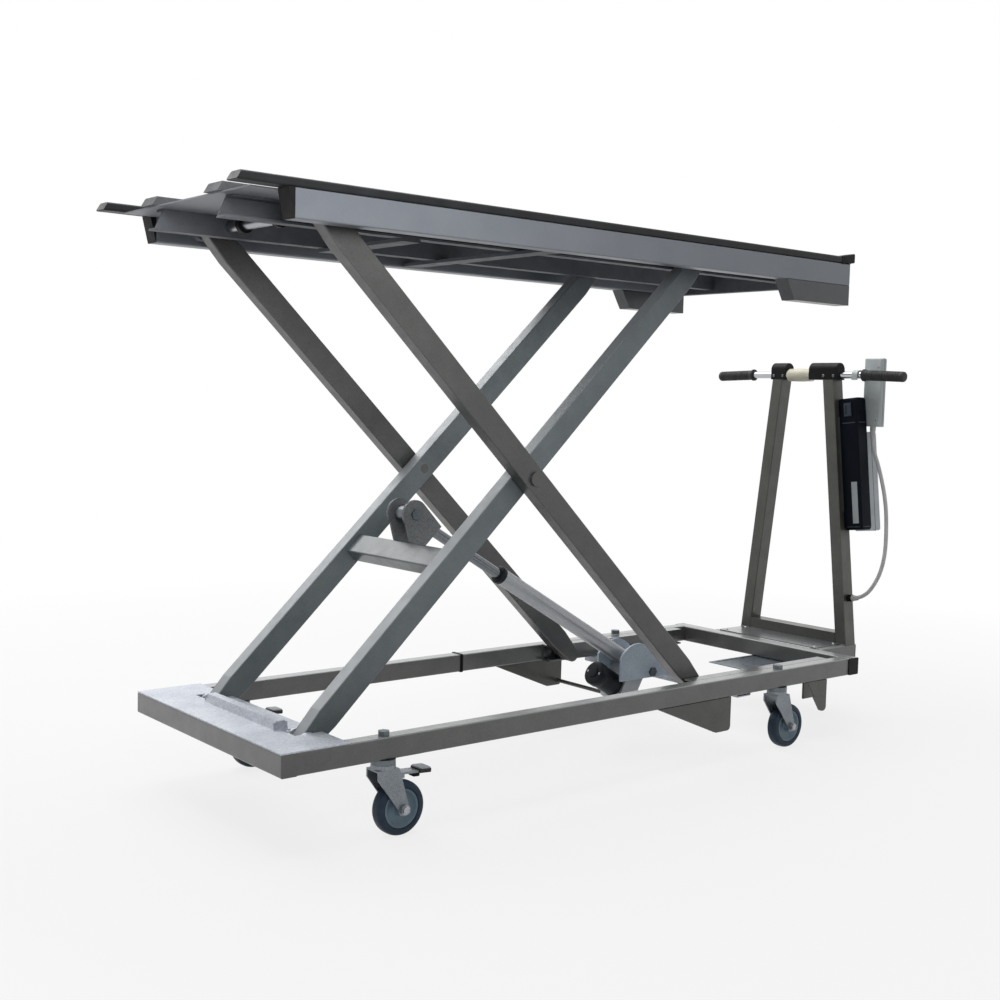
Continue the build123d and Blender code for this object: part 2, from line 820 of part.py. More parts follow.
lug_inner = falling_outer + roller_side_clearance
with BuildPart() as pivot_lugs:
    with BuildSketch(Plane.XZ.offset(lug_inner)):
        with Locations((pivot_x, table_pivot_z)):
            SlotOverall(pivot_lug_length, 2 * arm_end_radius)
            Circle(shaft_radius, mode=Mode.SUBTRACT)
    extrude(amount=table_inner - lug_inner)
    mirror(about=Plane.XZ)
save(pivot_lugs.part, "pivot_lugs")

with BuildPart() as upper_pivot_shaft:
    with BuildSketch(Plane.XZ.offset(-table_inner)):
        with Locations((pivot_x, table_pivot_z)):
            Circle(shaft_radius)
    extrude(amount=2 * table_inner)
save(upper_pivot_shaft.part, "upper_pivot_shaft")

with BuildPart() as shaft_collars:
    with BuildSketch(Plane.XZ.offset(collar_place - collar_width / 2)):
        with Locations((pivot_x, table_pivot_z)):
            Circle(collar_diameter / 2)
            Circle(shaft_radius, mode=Mode.SUBTRACT)
    extrude(amount=collar_width)
    mirror(about=Plane.XZ)
save(shaft_collars.part, "shaft_collars")

with BuildPart() as table_end_feet:
    with BuildSketch(Plane.XZ.offset(table_inner)):
        with BuildLine():
            Polyline(
                (station(end_foot_top), table_rail_bottom),
                (station(end_foot_bottom), table_rail_bottom - end_foot_drop),
                (station(table_rail_end), table_rail_bottom - end_foot_drop),
                (station(table_rail_end), table_rail_bottom),
                close=True,
            )
        make_face()
    extrude(amount=table_rail_width)
    foot_openings = table_end_feet.faces().sort_by(Axis.Z)[-1]
    offset(amount=-end_foot_wall, openings=foot_openings)
    mirror(about=Plane.XZ)
save(table_end_feet.part, "table_end_feet")

# Actuator: foot eye, gearbox and outer tube, the motor beside it, and the push rod with its eye
rest_angle = radians(raised_angle)
upper_pin_x = pivot_x + actuator_pin_along * cos(rest_angle) - actuator_pin_above * sin(rest_angle)
upper_pin_z = pivot_z + actuator_pin_along * sin(rest_angle) + actuator_pin_above * cos(rest_angle)
low_angle = radians(lowered_angle)
low_pin_x = pivot_x + actuator_pin_along * cos(low_angle) - actuator_pin_above * sin(low_angle)
low_pin_z = pivot_z + actuator_pin_along * sin(low_angle) + actuator_pin_above * cos(low_angle)
actuator_rest = hypot(upper_pin_x - foot_x, upper_pin_z - actuator_foot_z)
actuator_short = hypot(low_pin_x - foot_x, low_pin_z - actuator_foot_z)
rod_start = actuator_rest - actuator_short + rod_bore_floor + rod_tail_margin
actuator_run = upper_pin_x - foot_x
actuator_climb = upper_pin_z - actuator_foot_z
actuator_direction = (actuator_run / actuator_rest, 0, actuator_climb / actuator_rest)
actuator_plane = Plane(origin=(foot_x, 0, actuator_foot_z), x_dir=actuator_direction, z_dir=(0, 1, 0))
gearbox_end = gearbox_start + gearbox_length


def across_actuator(distance):
    """Plane square to the actuator's axis at a distance from its foot pin."""
    centre = actuator_plane.origin + Vector(*actuator_direction) * distance
    return Plane(origin=centre, x_dir=(0, -1, 0), z_dir=actuator_direction)


with BuildPart() as actuator_housing:
    with BuildSketch(across_actuator(gearbox_start)):
        with Locations((0, (gearbox_above - gearbox_below) / 2)):
            RectangleRounded(gearbox_width, gearbox_above + gearbox_below, gearbox_corner)
    extrude(amount=gearbox_length)
    with BuildSketch(actuator_plane):
        Circle(foot_eye_radius)
        with Locations((gearbox_start / 2, 0)):
            Rectangle(gearbox_start, 2 * foot_eye_radius)
    extrude(amount=eye_thickness / 2, both=True)
    with BuildSketch(across_actuator(gearbox_end)):
        Circle(actuator_tube_diameter / 2)
    extrude(amount=actuator_tube_end - gearbox_end)
    with BuildSketch(across_actuator(rod_bore_floor)):
        Circle(rod_diameter / 2 + rod_clearance)
    extrude(amount=actuator_tube_end - rod_bore_floor, mode=Mode.SUBTRACT)
    with BuildSketch(actuator_plane):
        Circle(actuator_pin_diameter / 2 + running_clearance)
    extrude(amount=eye_thickness / 2, both=True, mode=Mode.SUBTRACT)
save(actuator_housing.part, "actuator_housing")

with BuildPart() as actuator_motor:
    with BuildSketch(across_actuator(gearbox_end)):
        with Locations((0, -motor_offset)):
            Circle(motor_diameter / 2)
    extrude(amount=motor_length)
    far_rim = actuator_motor.faces().sort_by(Axis(actuator_plane.origin, actuator_direction))[-1]
    fillet(far_rim.edges(), radius=motor_rounding)
save(actuator_motor.part, "actuator_motor")

with BuildPart() as actuator_rod:
    with BuildSketch(across_actuator(rod_start)):
        Circle(rod_diameter / 2)
    extrude(amount=actuator_rest - rod_start)
    with BuildSketch(actuator_plane):
        with Locations((actuator_rest, 0)):
            Circle(eye_radius)
    extrude(amount=eye_thickness / 2, both=True)
    with BuildSketch(actuator_plane):
        with Locations((actuator_rest, 0)):
            Circle(eye_bush_radius)
    extrude(amount=eye_thickness, both=True, mode=Mode.SUBTRACT)
save(actuator_rod.part, "actuator_rod")

# Casters
with BuildPart() as caster_heads:
    for x, y in stem_places:
        with BuildSketch(Plane.XY.offset(ground_clearance)):
            with Locations((x, y)):
                Circle(race_radius)
        extrude(amount=-head_thickness)
        with BuildSketch(Plane.XY.offset(ground_clearance)):
            with Locations((x, y)):
                Circle(stem_diameter / 2)
        extrude(amount=rail_height + stem_nut_height)

with BuildPart() as stem_nuts:
    with BuildSketch(Plane.XY.offset(rail_top)):
        with Locations(*stem_places):
            RegularPolygon(stem_nut_width / 2, 6, major_radius=False)
            Circle(stem_diameter / 2, mode=Mode.SUBTRACT)
    extrude(amount=stem_nut_height)
save(Compound(children=[caster_heads.part, stem_nuts.part]), "caster_heads")

fork_outside = fork_inside + fork_wall
axle_x = caster_trail
race_bottom = ground_clearance - head_thickness - race_gap
pedal_pin_x = caster_trail - pedal_pin_back
pedal_pin_z = fork_top_z - fork_wall - pedal_pin_drop


def caster_fork(x, y, braked):
    """Fork swivelling under a head: race, crown plate, two legs and the wheel's axle bolt."""
    with BuildPart() as fork:
        with BuildSketch(Plane.XY.offset(fork_top_z)):
            with Locations((x, y)):
                Circle(race_radius)
        extrude(amount=race_bottom - fork_top_z)
        with BuildSketch(Plane.XZ.offset(-y - fork_outside)):
            with BuildLine():
                front = x - fork_crown_length / 2
                rear = x + fork_crown_length / 2
                foot_front = (x + axle_x - fork_foot_radius, wheel_radius)
                foot_rear = (x + axle_x + fork_foot_radius, wheel_radius)
                Polyline(
                    foot_front,
                    (front, fork_top_z - fork_shoulder),
                    (front, fork_top_z),
                    (rear, fork_top_z),
                    foot_rear,
                )
                ThreePointArc(foot_rear, (x + axle_x, wheel_radius - fork_foot_radius), foot_front)
            make_face()
        extrude(amount=2 * fork_outside)
        with BuildSketch(Plane.XZ.offset(-y - fork_inside)):
            with Locations((x + axle_x, (fork_top_z - fork_wall) / 2)):
                Rectangle(2 * fork_crown_length + 2 * axle_x, fork_top_z - fork_wall)
        extrude(amount=2 * fork_inside, mode=Mode.SUBTRACT)
        with BuildSketch(Plane.XZ.offset(-y - fork_outside)):
            with Locations((x + axle_x, wheel_radius)):
                Circle(axle_diameter / 2)
            if braked:
                with Locations((x + pedal_pin_x, pedal_pin_z)):
                    Circle(pedal_pin_diameter / 2 + running_clearance)
        extrude(amount=2 * fork_outside, mode=Mode.SUBTRACT)
    with BuildPart() as axle:
        with BuildSketch(Plane.XZ.offset(-y - fork_outside)):
            with Locations((x + axle_x, wheel_radius)):
                Circle(axle_diameter / 2)
        extrude(amount=2 * fork_outside)
        for face, height in ((-y + fork_outside, axle_head_height), (-y - fork_outside, -axle_head_height)):
            with BuildSketch(Plane.XZ.offset(face)):
                with Locations((x + axle_x, wheel_radius)):
                    Circle(axle_head_diameter / 2)
            extrude(amount=height)
    return Compound(children=[fork.part, axle.part])


def caster_wheel(x, y):
    """Tyre and hub turning on the axle bolt."""
    rim_radius = wheel_radius - tyre_thickness
    middle = Plane.XZ.offset(-y)
    with BuildPart() as tyre:
        with BuildSketch(middle):
            with Locations((x + axle_x, wheel_radius)):
                Circle(wheel_radius)
                Circle(rim_radius, mode=Mode.SUBTRACT)
        extrude(amount=wheel_width / 2, both=True)
        fillet(tyre.edges().filter_by(GeomType.CIRCLE).group_by(SortBy.RADIUS)[-1], radius=tyre_rounding)
    with BuildPart() as hub:
        for radius, half_width in (
            (rim_radius, wheel_width / 2 - hub_recess),
            (hub_boss_radius, fork_inside - wheel_gap),
        ):
            with BuildSketch(middle):
                with Locations((x + axle_x, wheel_radius)):
                    Circle(radius)
            extrude(amount=half_width, both=True)
        with BuildSketch(middle):
            with Locations((x + axle_x, wheel_radius)):
                Circle(axle_diameter / 2 + running_clearance)
        extrude(amount=fork_outside, both=True, mode=Mode.SUBTRACT)
    return Compound(children=[tyre.part, hub.part])


def brake_pedal(x, y):
    """Foot lever on a pin between the fork's legs, with a shoe over the tyre and a pad at its tip."""
    pin = (x + pedal_pin_x, pedal_pin_z)
    with BuildPart() as lever:
        with BuildSketch(Plane.XZ.offset(-y)):
            with BuildLine():
                half = pedal_thickness / 2
                tip = pin[0] + pedal_length
                Polyline(
                    (pin[0], pin[1] - half),
                    (tip, pin[1] - half + pedal_rise),
                    (tip, pin[1] + half + pedal_rise),
                    (pin[0], pin[1] + half),
                    close=True,
                )
            make_face()
            with Locations((pin[0] + shoe_reach, pin[1])):
                Rectangle(shoe_length, shoe_drop, align=(Align.CENTER, Align.MAX))
            with Locations(pin):
                Circle(pedal_pin_diameter)
        extrude(amount=pedal_width / 2, both=True)
        with BuildSketch(Plane.XZ.offset(-y)):
            with Locations(pin):
                Circle(pedal_pin_diameter / 2)
        extrude(amount=fork_outside, both=True)
    with BuildPart() as pad:
        lever_top = (pin[0], y, pin[1] + half)
        lever_end = hypot(pedal_length, pedal_rise)
        along_lever = (pedal_length, 0, pedal_rise)
        off_lever = (-pedal_rise, 0, pedal_length)
        with BuildSketch(Plane(origin=lever_top, x_dir=along_lever, z_dir=off_lever)):
            with Locations((lever_end - pedal_pad_length / 2, 0)):
                RectangleRounded(pedal_pad_length, pedal_width + pedal_pad_margin, pedal_thickness)
        extrude(amount=pedal_pad_height)
    return Compound(children=[lever.part, pad.part])


caster_names = ("front_left", "front_right", "rear_left", "rear_right")
for name, (x, y) in zip(caster_names, stem_places):
    braked = name.startswith("front")
    save(caster_fork(x, y, braked), f"caster_fork_{name}")
    save(caster_wheel(x, y), f"caster_wheel_{name}")
    if braked:
        save(brake_pedal(x, y), f"brake_pedal_{name}")

# Handle frame: two posts leaning together, joined by a foot tube
post_x = station(post_station)
post_rise = post_top_z - rail_top
post_lean = (tail_spacing - post_top_spacing) / 2
post_angle = atan2(post_lean, post_rise)
post_half = post_width / 2 / cos(post_angle)


def post_y(z):
    """Distance of a post's centre line from the middle plane at a height."""
    return tail_spacing / 2 - (z - rail_top) * post_lean / post_rise


with BuildPart() as handle_frame:
    for rim, mode in ((0, Mode.ADD), (post_wall, Mode.SUBTRACT)):
        half = post_half - rim
        with BuildSketch(Plane.YZ.offset(post_x)):
            with BuildLine():
                Polyline(
                    (-post_y(rail_top) - half, rail_top),
                    (-post_y(rail_top) + half, rail_top),
                    (-post_y(post_top_z) + half, post_top_z),
                    (-post_y(post_top_z) - half, post_top_z),
                    close=True,
                )
            make_face()
        extrude(amount=post_depth / 2 - rim, both=True, mode=mode)
        if mode == Mode.ADD:
            along_post = Axis((0, 0, 0), (0, post_lean, post_rise))
            fillet(handle_frame.edges().filter_by(along_post), radius=post_corner)
    foot_high = rail_top + deck_plate_thickness + foot_tube_height
    foot_low = rail_top + deck_plate_thickness
    for rim, mode in ((0, Mode.ADD), (post_wall, Mode.SUBTRACT)):
        with BuildSketch(Plane.YZ.offset(post_x)):
            with BuildLine():
                Polyline(
                    (-post_y(foot_low) + post_half, foot_low + rim),
                    (0, foot_low + rim),
                    (0, foot_high - rim),
                    (-post_y(foot_high) + post_half, foot_high - rim),
                    close=True,
                )
            make_face()
        extrude(amount=post_depth / 2 - rim, both=True, mode=mode)
    mirror(about=Plane.XZ)
save(handle_frame.part, "handle_frame")

with BuildPart() as tail_deck_plate:
    with BuildSketch(Plane.XY.offset(rail_top)):
        plate_rear = post_station - post_depth / 2
        with Locations((station((base_length + plate_rear) / 2), 0)):
            Rectangle(plate_rear - base_length, tail_spacing)
    extrude(amount=deck_plate_thickness)
save(tail_deck_plate.part, "tail_deck_plate")

bar_end = (post_x, -handlebar_length / 2, handlebar_z - handlebar_droop)
bar_knee = (post_x, handlebar_end_length - handlebar_length / 2, handlebar_z)
with BuildPart() as handlebar:
    with BuildLine() as bar_line:
        FilletPolyline(
            bar_end,
            bar_knee,
            (post_x, -bar_knee[1], bar_knee[2]),
            (post_x, -bar_end[1], bar_end[2]),
            radius=handlebar_bend_radius,
        )
    with BuildSketch(Plane(origin=bar_line.line @ 0, z_dir=bar_line.line % 0)):
        Circle(handlebar_diameter / 2)
        Circle(handlebar_diameter / 2 - handlebar_wall, mode=Mode.SUBTRACT)
    sweep()

left_clamp = -post_y(post_top_z) + clamp_width / 2 + clamp_extra
right_clamp = post_y(post_top_z) - clamp_width / 2
with BuildPart() as bar_sleeve:
    with BuildSketch(Plane.XZ.offset(-right_clamp)):
        with Locations((post_x, handlebar_z)):
            Circle(bar_sleeve_diameter / 2)
            Circle(handlebar_diameter / 2, mode=Mode.SUBTRACT)
    extrude(amount=right_clamp - left_clamp)
save(Compound(children=[handlebar.part, bar_sleeve.part]), "handlebar")

with BuildPart() as handle_grips:
    bar_inward = bar_line.line % 0
    grip_sleeve = grip_length - grip_end_thickness
    flange_start = Vector(*bar_end) + bar_inward * (grip_sleeve - grip_flange_length)
    flange_plane = Plane(origin=flange_start, z_dir=bar_inward)
    for plane, radius, length in (
        (Plane(origin=bar_end, z_dir=bar_inward), grip_diameter / 2, grip_sleeve),
        (flange_plane, grip_diameter / 2 + grip_flange, grip_flange_length),
    ):
        with BuildSketch(plane):
            Circle(radius)
            Circle(handlebar_diameter / 2, mode=Mode.SUBTRACT)
        extrude(amount=length)
    with BuildSketch(Plane(origin=bar_end, z_dir=bar_inward)):
        Circle(grip_diameter / 2)
    extrude(amount=-grip_end_thickness)
    mirror(about=Plane.XZ)
save(handle_grips.part, "handle_grips")

with BuildPart() as handlebar_clamps:
    dome_z = post_top_z + clamp_height - clamp_depth / 2
    for start, length in (
        (left_clamp, clamp_width + clamp_extra),
        (right_clamp + clamp_width, clamp_width),
    ):
        with BuildSketch(Plane.XZ.offset(-start)):
            with Locations((post_x, post_top_z)):
                Rectangle(clamp_depth, dome_z - post_top_z, align=(Align.CENTER, Align.MIN))
            with Locations((post_x, dome_z)):
                Circle(clamp_depth / 2)
        extrude(amount=length)
    end_rims = handlebar_clamps.faces().filter_by(Axis.Y).edges().filter_by(GeomType.CIRCLE)
    fillet(end_rims, radius=clamp_rounding)
    with BuildSketch(Plane.XZ.offset(-handlebar_length / 2)):
        with Locations((post_x, handlebar_z)):
            Circle(handlebar_diameter / 2)
    extrude(amount=handlebar_length, mode=Mode.SUBTRACT)
save(handlebar_clamps.part, "handlebar_clamps")

# Battery and control box on a plate on the left post's leaning outer face
post_out = (0, -cos(post_angle), sin(post_angle))
post_middle = Vector(post_x, -post_y(pack_centre_z), pack_centre_z)
post_side = post_middle + Vector(*post_out) * (post_width / 2)
pack_plane = Plane(origin=post_side, x_dir=(1, 0, 0), z_dir=post_out)
box_plane = pack_plane.offset(pack_plate_thickness)

with BuildPart() as power_bracket:
    with BuildSketch(pack_plane):
        with Locations(((pack_front + pack_rear) / 2, 0)):
            Rectangle(pack_rear - pack_front, pack_plate_height)
    extrude(amount=pack_plate_thickness)
save(power_bracket.part, "power_bracket")

with BuildPart() as battery_pack:
    with BuildSketch(box_plane):
        with Locations((pack_front + battery_depth / 2, 0)):
            RectangleRounded(battery_depth, battery_height, battery_corner)
    extrude(amount=battery_width)
    fillet(battery_pack.faces().sort_by(Axis(post_middle, post_out))[-1].edges(), radius=pack_rounding)
save(battery_pack.part, "battery_pack")

with BuildPart() as control_box:
    with BuildSketch(box_plane):
        with Locations((pack_rear - control_depth / 2, control_rise)):
            RectangleRounded(control_depth, control_height, control_corner)
    extrude(amount=control_width)
    fillet(control_box.faces().sort_by(Axis(post_middle, post_out))[-1].edges(), radius=pack_rounding)
save(control_box.part, "control_box")

# Handset hooked over the handlebar, with its two buttons facing the operator
handset_y = bar_knee[1] - handset_outset
handset_front = post_x + handset_gap
handset_rear = handset_front + handset_depth
handset_middle_x = handset_front + handset_depth / 2
handset_middle_z = handset_bottom_z + handset_height / 2
hook_inner = handlebar_diameter / 2 + hook_clearance
hook_outer = hook_inner + hook_thickness
button_middle_z = handset_middle_z + button_rise
button_places = [(handset_y, button_middle_z + side * button_spacing / 2) for side in (1, -1)]
with BuildPart() as handset:
    with BuildSketch(Plane.XY.offset(handset_bottom_z)):
        with Locations((handset_middle_x, handset_y)):
            RectangleRounded(handset_depth, handset_width, handset_corner)
    extrude(amount=handset_height)
    fillet(handset.faces().sort_by(Axis.Z)[-1].edges(), radius=handset_rounding)
    with BuildSketch(Plane.XZ.offset(-handset_y - hook_inset)):
        with Locations((post_x, handlebar_z)):
            Circle(hook_outer)
        with Locations((post_x, handlebar_z)):
            Rectangle(handset_gap + handset_corner, hook_outer, align=(Align.MIN, Align.MIN))
            Rectangle(hook_outer, hook_outer, align=(Align.MAX, Align.MAX))
            Circle(hook_inner, mode=Mode.SUBTRACT)
            Rectangle(2 * hook_inner, 2 * hook_outer, align=(Align.CENTER, Align.MAX), mode=Mode.SUBTRACT)
            Rectangle(2 * hook_outer, 2 * hook_outer, align=(Align.MIN, Align.MAX), mode=Mode.SUBTRACT)
    extrude(amount=hook_width / 2, both=True)
    with BuildSketch(Plane.XY.offset(handset_bottom_z)):
        with Locations((handset_middle_x, handset_y)):
            Circle(relief_diameter / 2)
    extrude(amount=-relief_length)
    with BuildSketch(Plane.YZ.offset(handset_rear)):
        with Locations(*button_places):
            Circle(button_diameter / 2 + button_clearance)
    extrude(amount=-button_depth - button_travel - button_clearance, mode=Mode.SUBTRACT)
save(handset.part, "handset")

for name, place in zip(("up_button", "down_button"), button_places):
    with BuildPart() as button:
        with BuildSketch(Plane.YZ.offset(handset_rear - button_depth)):
            with Locations(place):
                Circle(button_diameter / 2)
        extrude(amount=button_depth + button_proud)
        fillet(button.faces().sort_by(Axis.X)[-1].edges(), radius=button_rounding)
    save(button.part, name)

# Handset cable down past the control box to a gland on the left post's outer face
gland_foot = Vector(post_x, -post_y(gland_z), gland_z) + Vector(*post_out) * (post_width / 2)
gland_tip = gland_foot + Vector(*post_out) * gland_length
with BuildPart() as cable_gland:
    with BuildSketch(Plane(origin=gland_foot, x_dir=(1, 0, 0), z_dir=post_out)):
        RegularPolygon(gland_diameter / 2, 6)
    extrude(amount=gland_length)
save(cable_gland.part, "cable_gland")

cable_points = [
    (handset_middle_x, handset_y, handset_bottom_z - relief_length),
    (handset_middle_x, handset_y, handset_bottom_z - relief_length - cable_drop),
    *[(post_x + behind, -post_y(z) - outside, z) for behind, outside, z in cable_route],
    tuple(gland_tip + Vector(*post_out) * cable_lead),
    tuple(gland_tip),
]
cable_radii = []
for before, here, after in zip(cable_points, cable_points[1:], cable_points[2:]):
    run_in = Vector(*here) - Vector(*before)
    run_out = Vector(*after) - Vector(*here)
    turn = radians(run_in.get_angle(run_out))
    cable_radii.append(cable_bend_share * min(run_in.length, run_out.length) / tan(turn / 2))
print("cable bend radii", [round(radius, 1) for radius in cable_radii])

with BuildPart() as handset_cable:
    with BuildLine() as cable_line:
        FilletPolyline(*cable_points, radius=cable_radii)
    with BuildSketch(Plane(origin=cable_line.line @ 0, z_dir=cable_line.line % 0)):
        Circle(cable_diameter / 2)
    sweep()
save(handset_cable.part, "handset_cable")
print("cable length", round(cable_line.wire().length, 1))
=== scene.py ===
from math import atan2, cos, pi, radians, sin

import bpy
from mathutils import Matrix, Vector


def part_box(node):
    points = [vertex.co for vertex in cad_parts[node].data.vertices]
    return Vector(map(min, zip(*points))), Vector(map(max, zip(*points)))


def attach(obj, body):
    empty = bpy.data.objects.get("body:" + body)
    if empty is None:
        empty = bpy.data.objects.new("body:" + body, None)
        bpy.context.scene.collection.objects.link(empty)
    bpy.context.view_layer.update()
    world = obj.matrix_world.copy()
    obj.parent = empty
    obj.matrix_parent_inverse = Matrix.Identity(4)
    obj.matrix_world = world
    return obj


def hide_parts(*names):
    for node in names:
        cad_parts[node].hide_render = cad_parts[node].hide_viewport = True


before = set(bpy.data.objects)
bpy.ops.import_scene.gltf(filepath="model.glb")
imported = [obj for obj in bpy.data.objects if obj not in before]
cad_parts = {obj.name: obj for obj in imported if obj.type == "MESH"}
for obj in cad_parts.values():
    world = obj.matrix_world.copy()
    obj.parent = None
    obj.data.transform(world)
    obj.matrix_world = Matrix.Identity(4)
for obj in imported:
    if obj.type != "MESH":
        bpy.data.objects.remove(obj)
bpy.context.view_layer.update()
scene = bpy.context.scene
FRONT_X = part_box("base_bars")[0].x
SIDES = ((-1, "left"), (1, "right"))

# Camera at the photograph's place: a 48 mm lens about 3.6 m from the trolley's middle
LENS = 47.577
SENSOR = 36.0
EYE = Vector((FRONT_X - 1.35615, -2.69161, 0.97049))
RIGHT = Vector((0.774079, -0.632575, 0.025515))
UPWARD = Vector((0.027896, 0.074344, 0.996842))
optics = bpy.data.cameras.new("camera")
optics.lens = LENS
optics.sensor_width = SENSOR
camera = bpy.data.objects.new("camera", optics)
scene.collection.objects.link(camera)
turn = Matrix((RIGHT, UPWARD, RIGHT.cross(UPWARD))).transposed().to_4x4()
camera.matrix_world = Matrix.Translation(EYE) @ turn
scene.camera = camera
scene.view_settings.view_transform = "Standard"

# Places shared by several pieces, in metres
RAIL_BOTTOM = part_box("side_rails")[0].z
RAIL_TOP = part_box("side_rails")[1].z
RAIL_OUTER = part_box("side_rails")[1].y
RAIL_WIDTH = 0.040
POST_X = (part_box("handle_frame")[0].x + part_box("handle_frame")[1].x) / 2
POST_DEPTH = 0.050
POST_FOOT_Y = 0.193
POST_TOP_Y = 0.100
POST_FOOT_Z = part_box("handle_frame")[0].z
POST_TOP_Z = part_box("handle_frame")[1].z
POST_LEAN = atan2(POST_FOOT_Y - POST_TOP_Y, POST_TOP_Z - POST_FOOT_Z)
POST_OUT = Vector((0, -cos(POST_LEAN), sin(POST_LEAN)))
PACK_Z = 0.793
CASTER_Y = 0.330
CASTERS = (
    ("front_left", 0.310, -CASTER_Y), ("front_right", 0.310, CASTER_Y),
    ("rear_left", 1.660, -CASTER_Y), ("rear_right", 1.660, CASTER_Y),
)


def at(station):
    """X of a place given by its distance in metres behind the base's front."""
    return FRONT_X + station


def post_y(z):
    """Distance of a post's centre line from the trolley's middle at a height."""
    return POST_FOOT_Y - (z - POST_FOOT_Z) * (POST_FOOT_Y - POST_TOP_Y) / (POST_TOP_Z - POST_FOOT_Z)


PACK = Matrix.Translation((POST_X, -post_y(PACK_Z), PACK_Z)) @ Matrix.Rotation(-POST_LEAN, 4, "X")

# Materials
# Pale colour laid on the faces that look up: painted light from above.
TOP_LIGHT_PALE = (206, 210, 213)
SMUDGE = (0.86, 0.87, 0.89, 1.0)
TARNISH = (0.82, 0.82, 0.84, 1.0)


def tone(red, green, blue):
    """Linear colour of a paint given in 0 to 255 screen values."""
    def linear(v):
        v = v / 255
        return v / 12.92 if v <= 0.04045 else ((v + 0.055) / 1.055) ** 2.4
    return (linear(red), linear(green), linear(blue), 1.0)


def grey(level):
    return (level, level, level, 1.0)


def new_material(name):
    material = bpy.data.materials.new(name)
    material.use_nodes = True
    tree = material.node_tree
    shader = tree.nodes["Principled BSDF"]
    place = tree.nodes.new("ShaderNodeTexCoord").outputs["Object"]
    return material, tree, shader, place


def stretched(tree, place, scale):
    """The object's own coordinates, drawn out so that a pattern runs along one axis."""
    mapping = tree.nodes.new("ShaderNodeMapping")
    mapping.inputs["Scale"].default_value = scale
    tree.links.new(place, mapping.inputs["Vector"])
    return mapping.outputs["Vector"]


def grain(tree, place, scale, detail=4.0, roughness=0.55):
    noise = tree.nodes.new("ShaderNodeTexNoise")
    noise.inputs["Scale"].default_value = scale
    noise.inputs["Detail"].default_value = detail
    noise.inputs["Roughness"].default_value = roughness
    tree.links.new(place, noise.inputs["Vector"])
    return noise.outputs["Fac"]


def ramp(tree, value, stops):
    """Colour ramp through (position, colour) stops."""
    node = tree.nodes.new("ShaderNodeValToRGB")
    first, last = node.color_ramp.elements[0], node.color_ramp.elements[1]
    first.position, first.color = stops[0]
    last.position, last.color = stops[-1]
    for position, colour in stops[1:-1]:
        node.color_ramp.elements.new(position).color = colour
    tree.links.new(value, node.inputs["Fac"])
    return node.outputs["Color"]


def between(tree, value, low, high, start=0.3, end=0.7):
    """Spreads a value that runs from start to end over the range from low to high."""
    node = tree.nodes.new("ShaderNodeMapRange")
    node.inputs["From Min"].default_value = start
    node.inputs["From Max"].default_value = end
    node.inputs["To Min"].default_value = low
    node.inputs["To Max"].default_value = high
    tree.links.new(value, node.inputs["Value"])
    return node.outputs["Result"]


def overlay(tree, below, above):
    """One colour darkened by another."""
    node = tree.nodes.new("ShaderNodeMix")
    node.data_type = "RGBA"
    node.blend_type = "MULTIPLY"
    node.inputs["Factor"].default_value = 1.0
    tree.links.new(below, node.inputs["A"])
    tree.links.new(above, node.inputs["B"])
    return node.outputs["Result"]


def relief(tree, shader, height, strength, distance):
    node = tree.nodes.new("ShaderNodeBump")
    node.inputs["Strength"].default_value = strength
    node.inputs["Distance"].default_value = distance
    tree.links.new(height, node.inputs["Height"])
    tree.links.new(node.outputs["Normal"], shader.inputs["Normal"])


def dress(tree, shader, colour, blotches, low, high):
    """Gives the surface its colour, and a roughness that varies between two levels."""
    tree.links.new(colour, shader.inputs["Base Color"])
    tree.links.new(between(tree, blotches, low, high), shader.inputs["Roughness"])


def painted_top_light(tree, colour, top_light):
    """Painted light: a paler colour on the faces that look up, standing in for the light from above."""
    normal = tree.nodes.new("ShaderNodeSeparateXYZ")
    tree.links.new(tree.nodes.new("ShaderNodeTexCoord").outputs["Normal"], normal.inputs["Vector"])
    upward = between(tree, normal.outputs["Z"], 0.0, top_light, start=0.35, end=0.75)
    node = tree.nodes.new("ShaderNodeMix")
    node.data_type = "RGBA"
    node.inputs["B"].default_value = tone(*TOP_LIGHT_PALE)
    tree.links.new(upward, node.inputs["Factor"])
    tree.links.new(colour, node.inputs["A"])
    return node.outputs["Result"]


def stoved_paint(name, dark, light, speck, dull, metallic=0.25, coat=1.0, top_light=0.0, peel=0.04, haze=0.20):
    """Stoved metallic paint under a clear coat: cloudy shade, flake specks, thin scratches, orange peel, and
    optional painted light on the faces that look up.
    """
    material, tree, shader, place = new_material(name)
    clouds = grain(tree, place, scale=7.0, detail=7.0, roughness=0.62)
    flakes = grain(tree, place, scale=330.0, detail=3.0, roughness=0.7)
    rubbed = grain(tree, stretched(tree, place, (3.0, 40.0, 26.0)), scale=9.0, detail=6.0, roughness=0.7)
    shade = ramp(tree, clouds, [(0.32, tone(*dark)), (0.68, tone(*light))])
    flake = ramp(tree, flakes, [(0.36, grey(speck)), (0.52, grey(1.0))])
    scratch = ramp(
        tree, rubbed, [(0.28, grey(1.0)), (0.30, grey(1.0)), (0.305, grey(0.74)), (0.33, grey(1.0))]
    )
    paint = overlay(tree, overlay(tree, shade, flake), scratch)
    # Painted light: faces that look up are made paler for the light from above.
    if top_light:
        paint = painted_top_light(tree, paint, top_light)
    dress(tree, shader, paint, grain(tree, place, scale=30.0, detail=5.0), dull - 0.08, dull + 0.10)
    shader.inputs["Metallic"].default_value = metallic
    shader.inputs["Coat Weight"].default_value = coat
    shader.inputs["Coat Roughness"].default_value = haze
    if peel:
        relief(tree, shader, grain(tree, place, scale=260.0, detail=2.0), peel, 0.0003)
    return material


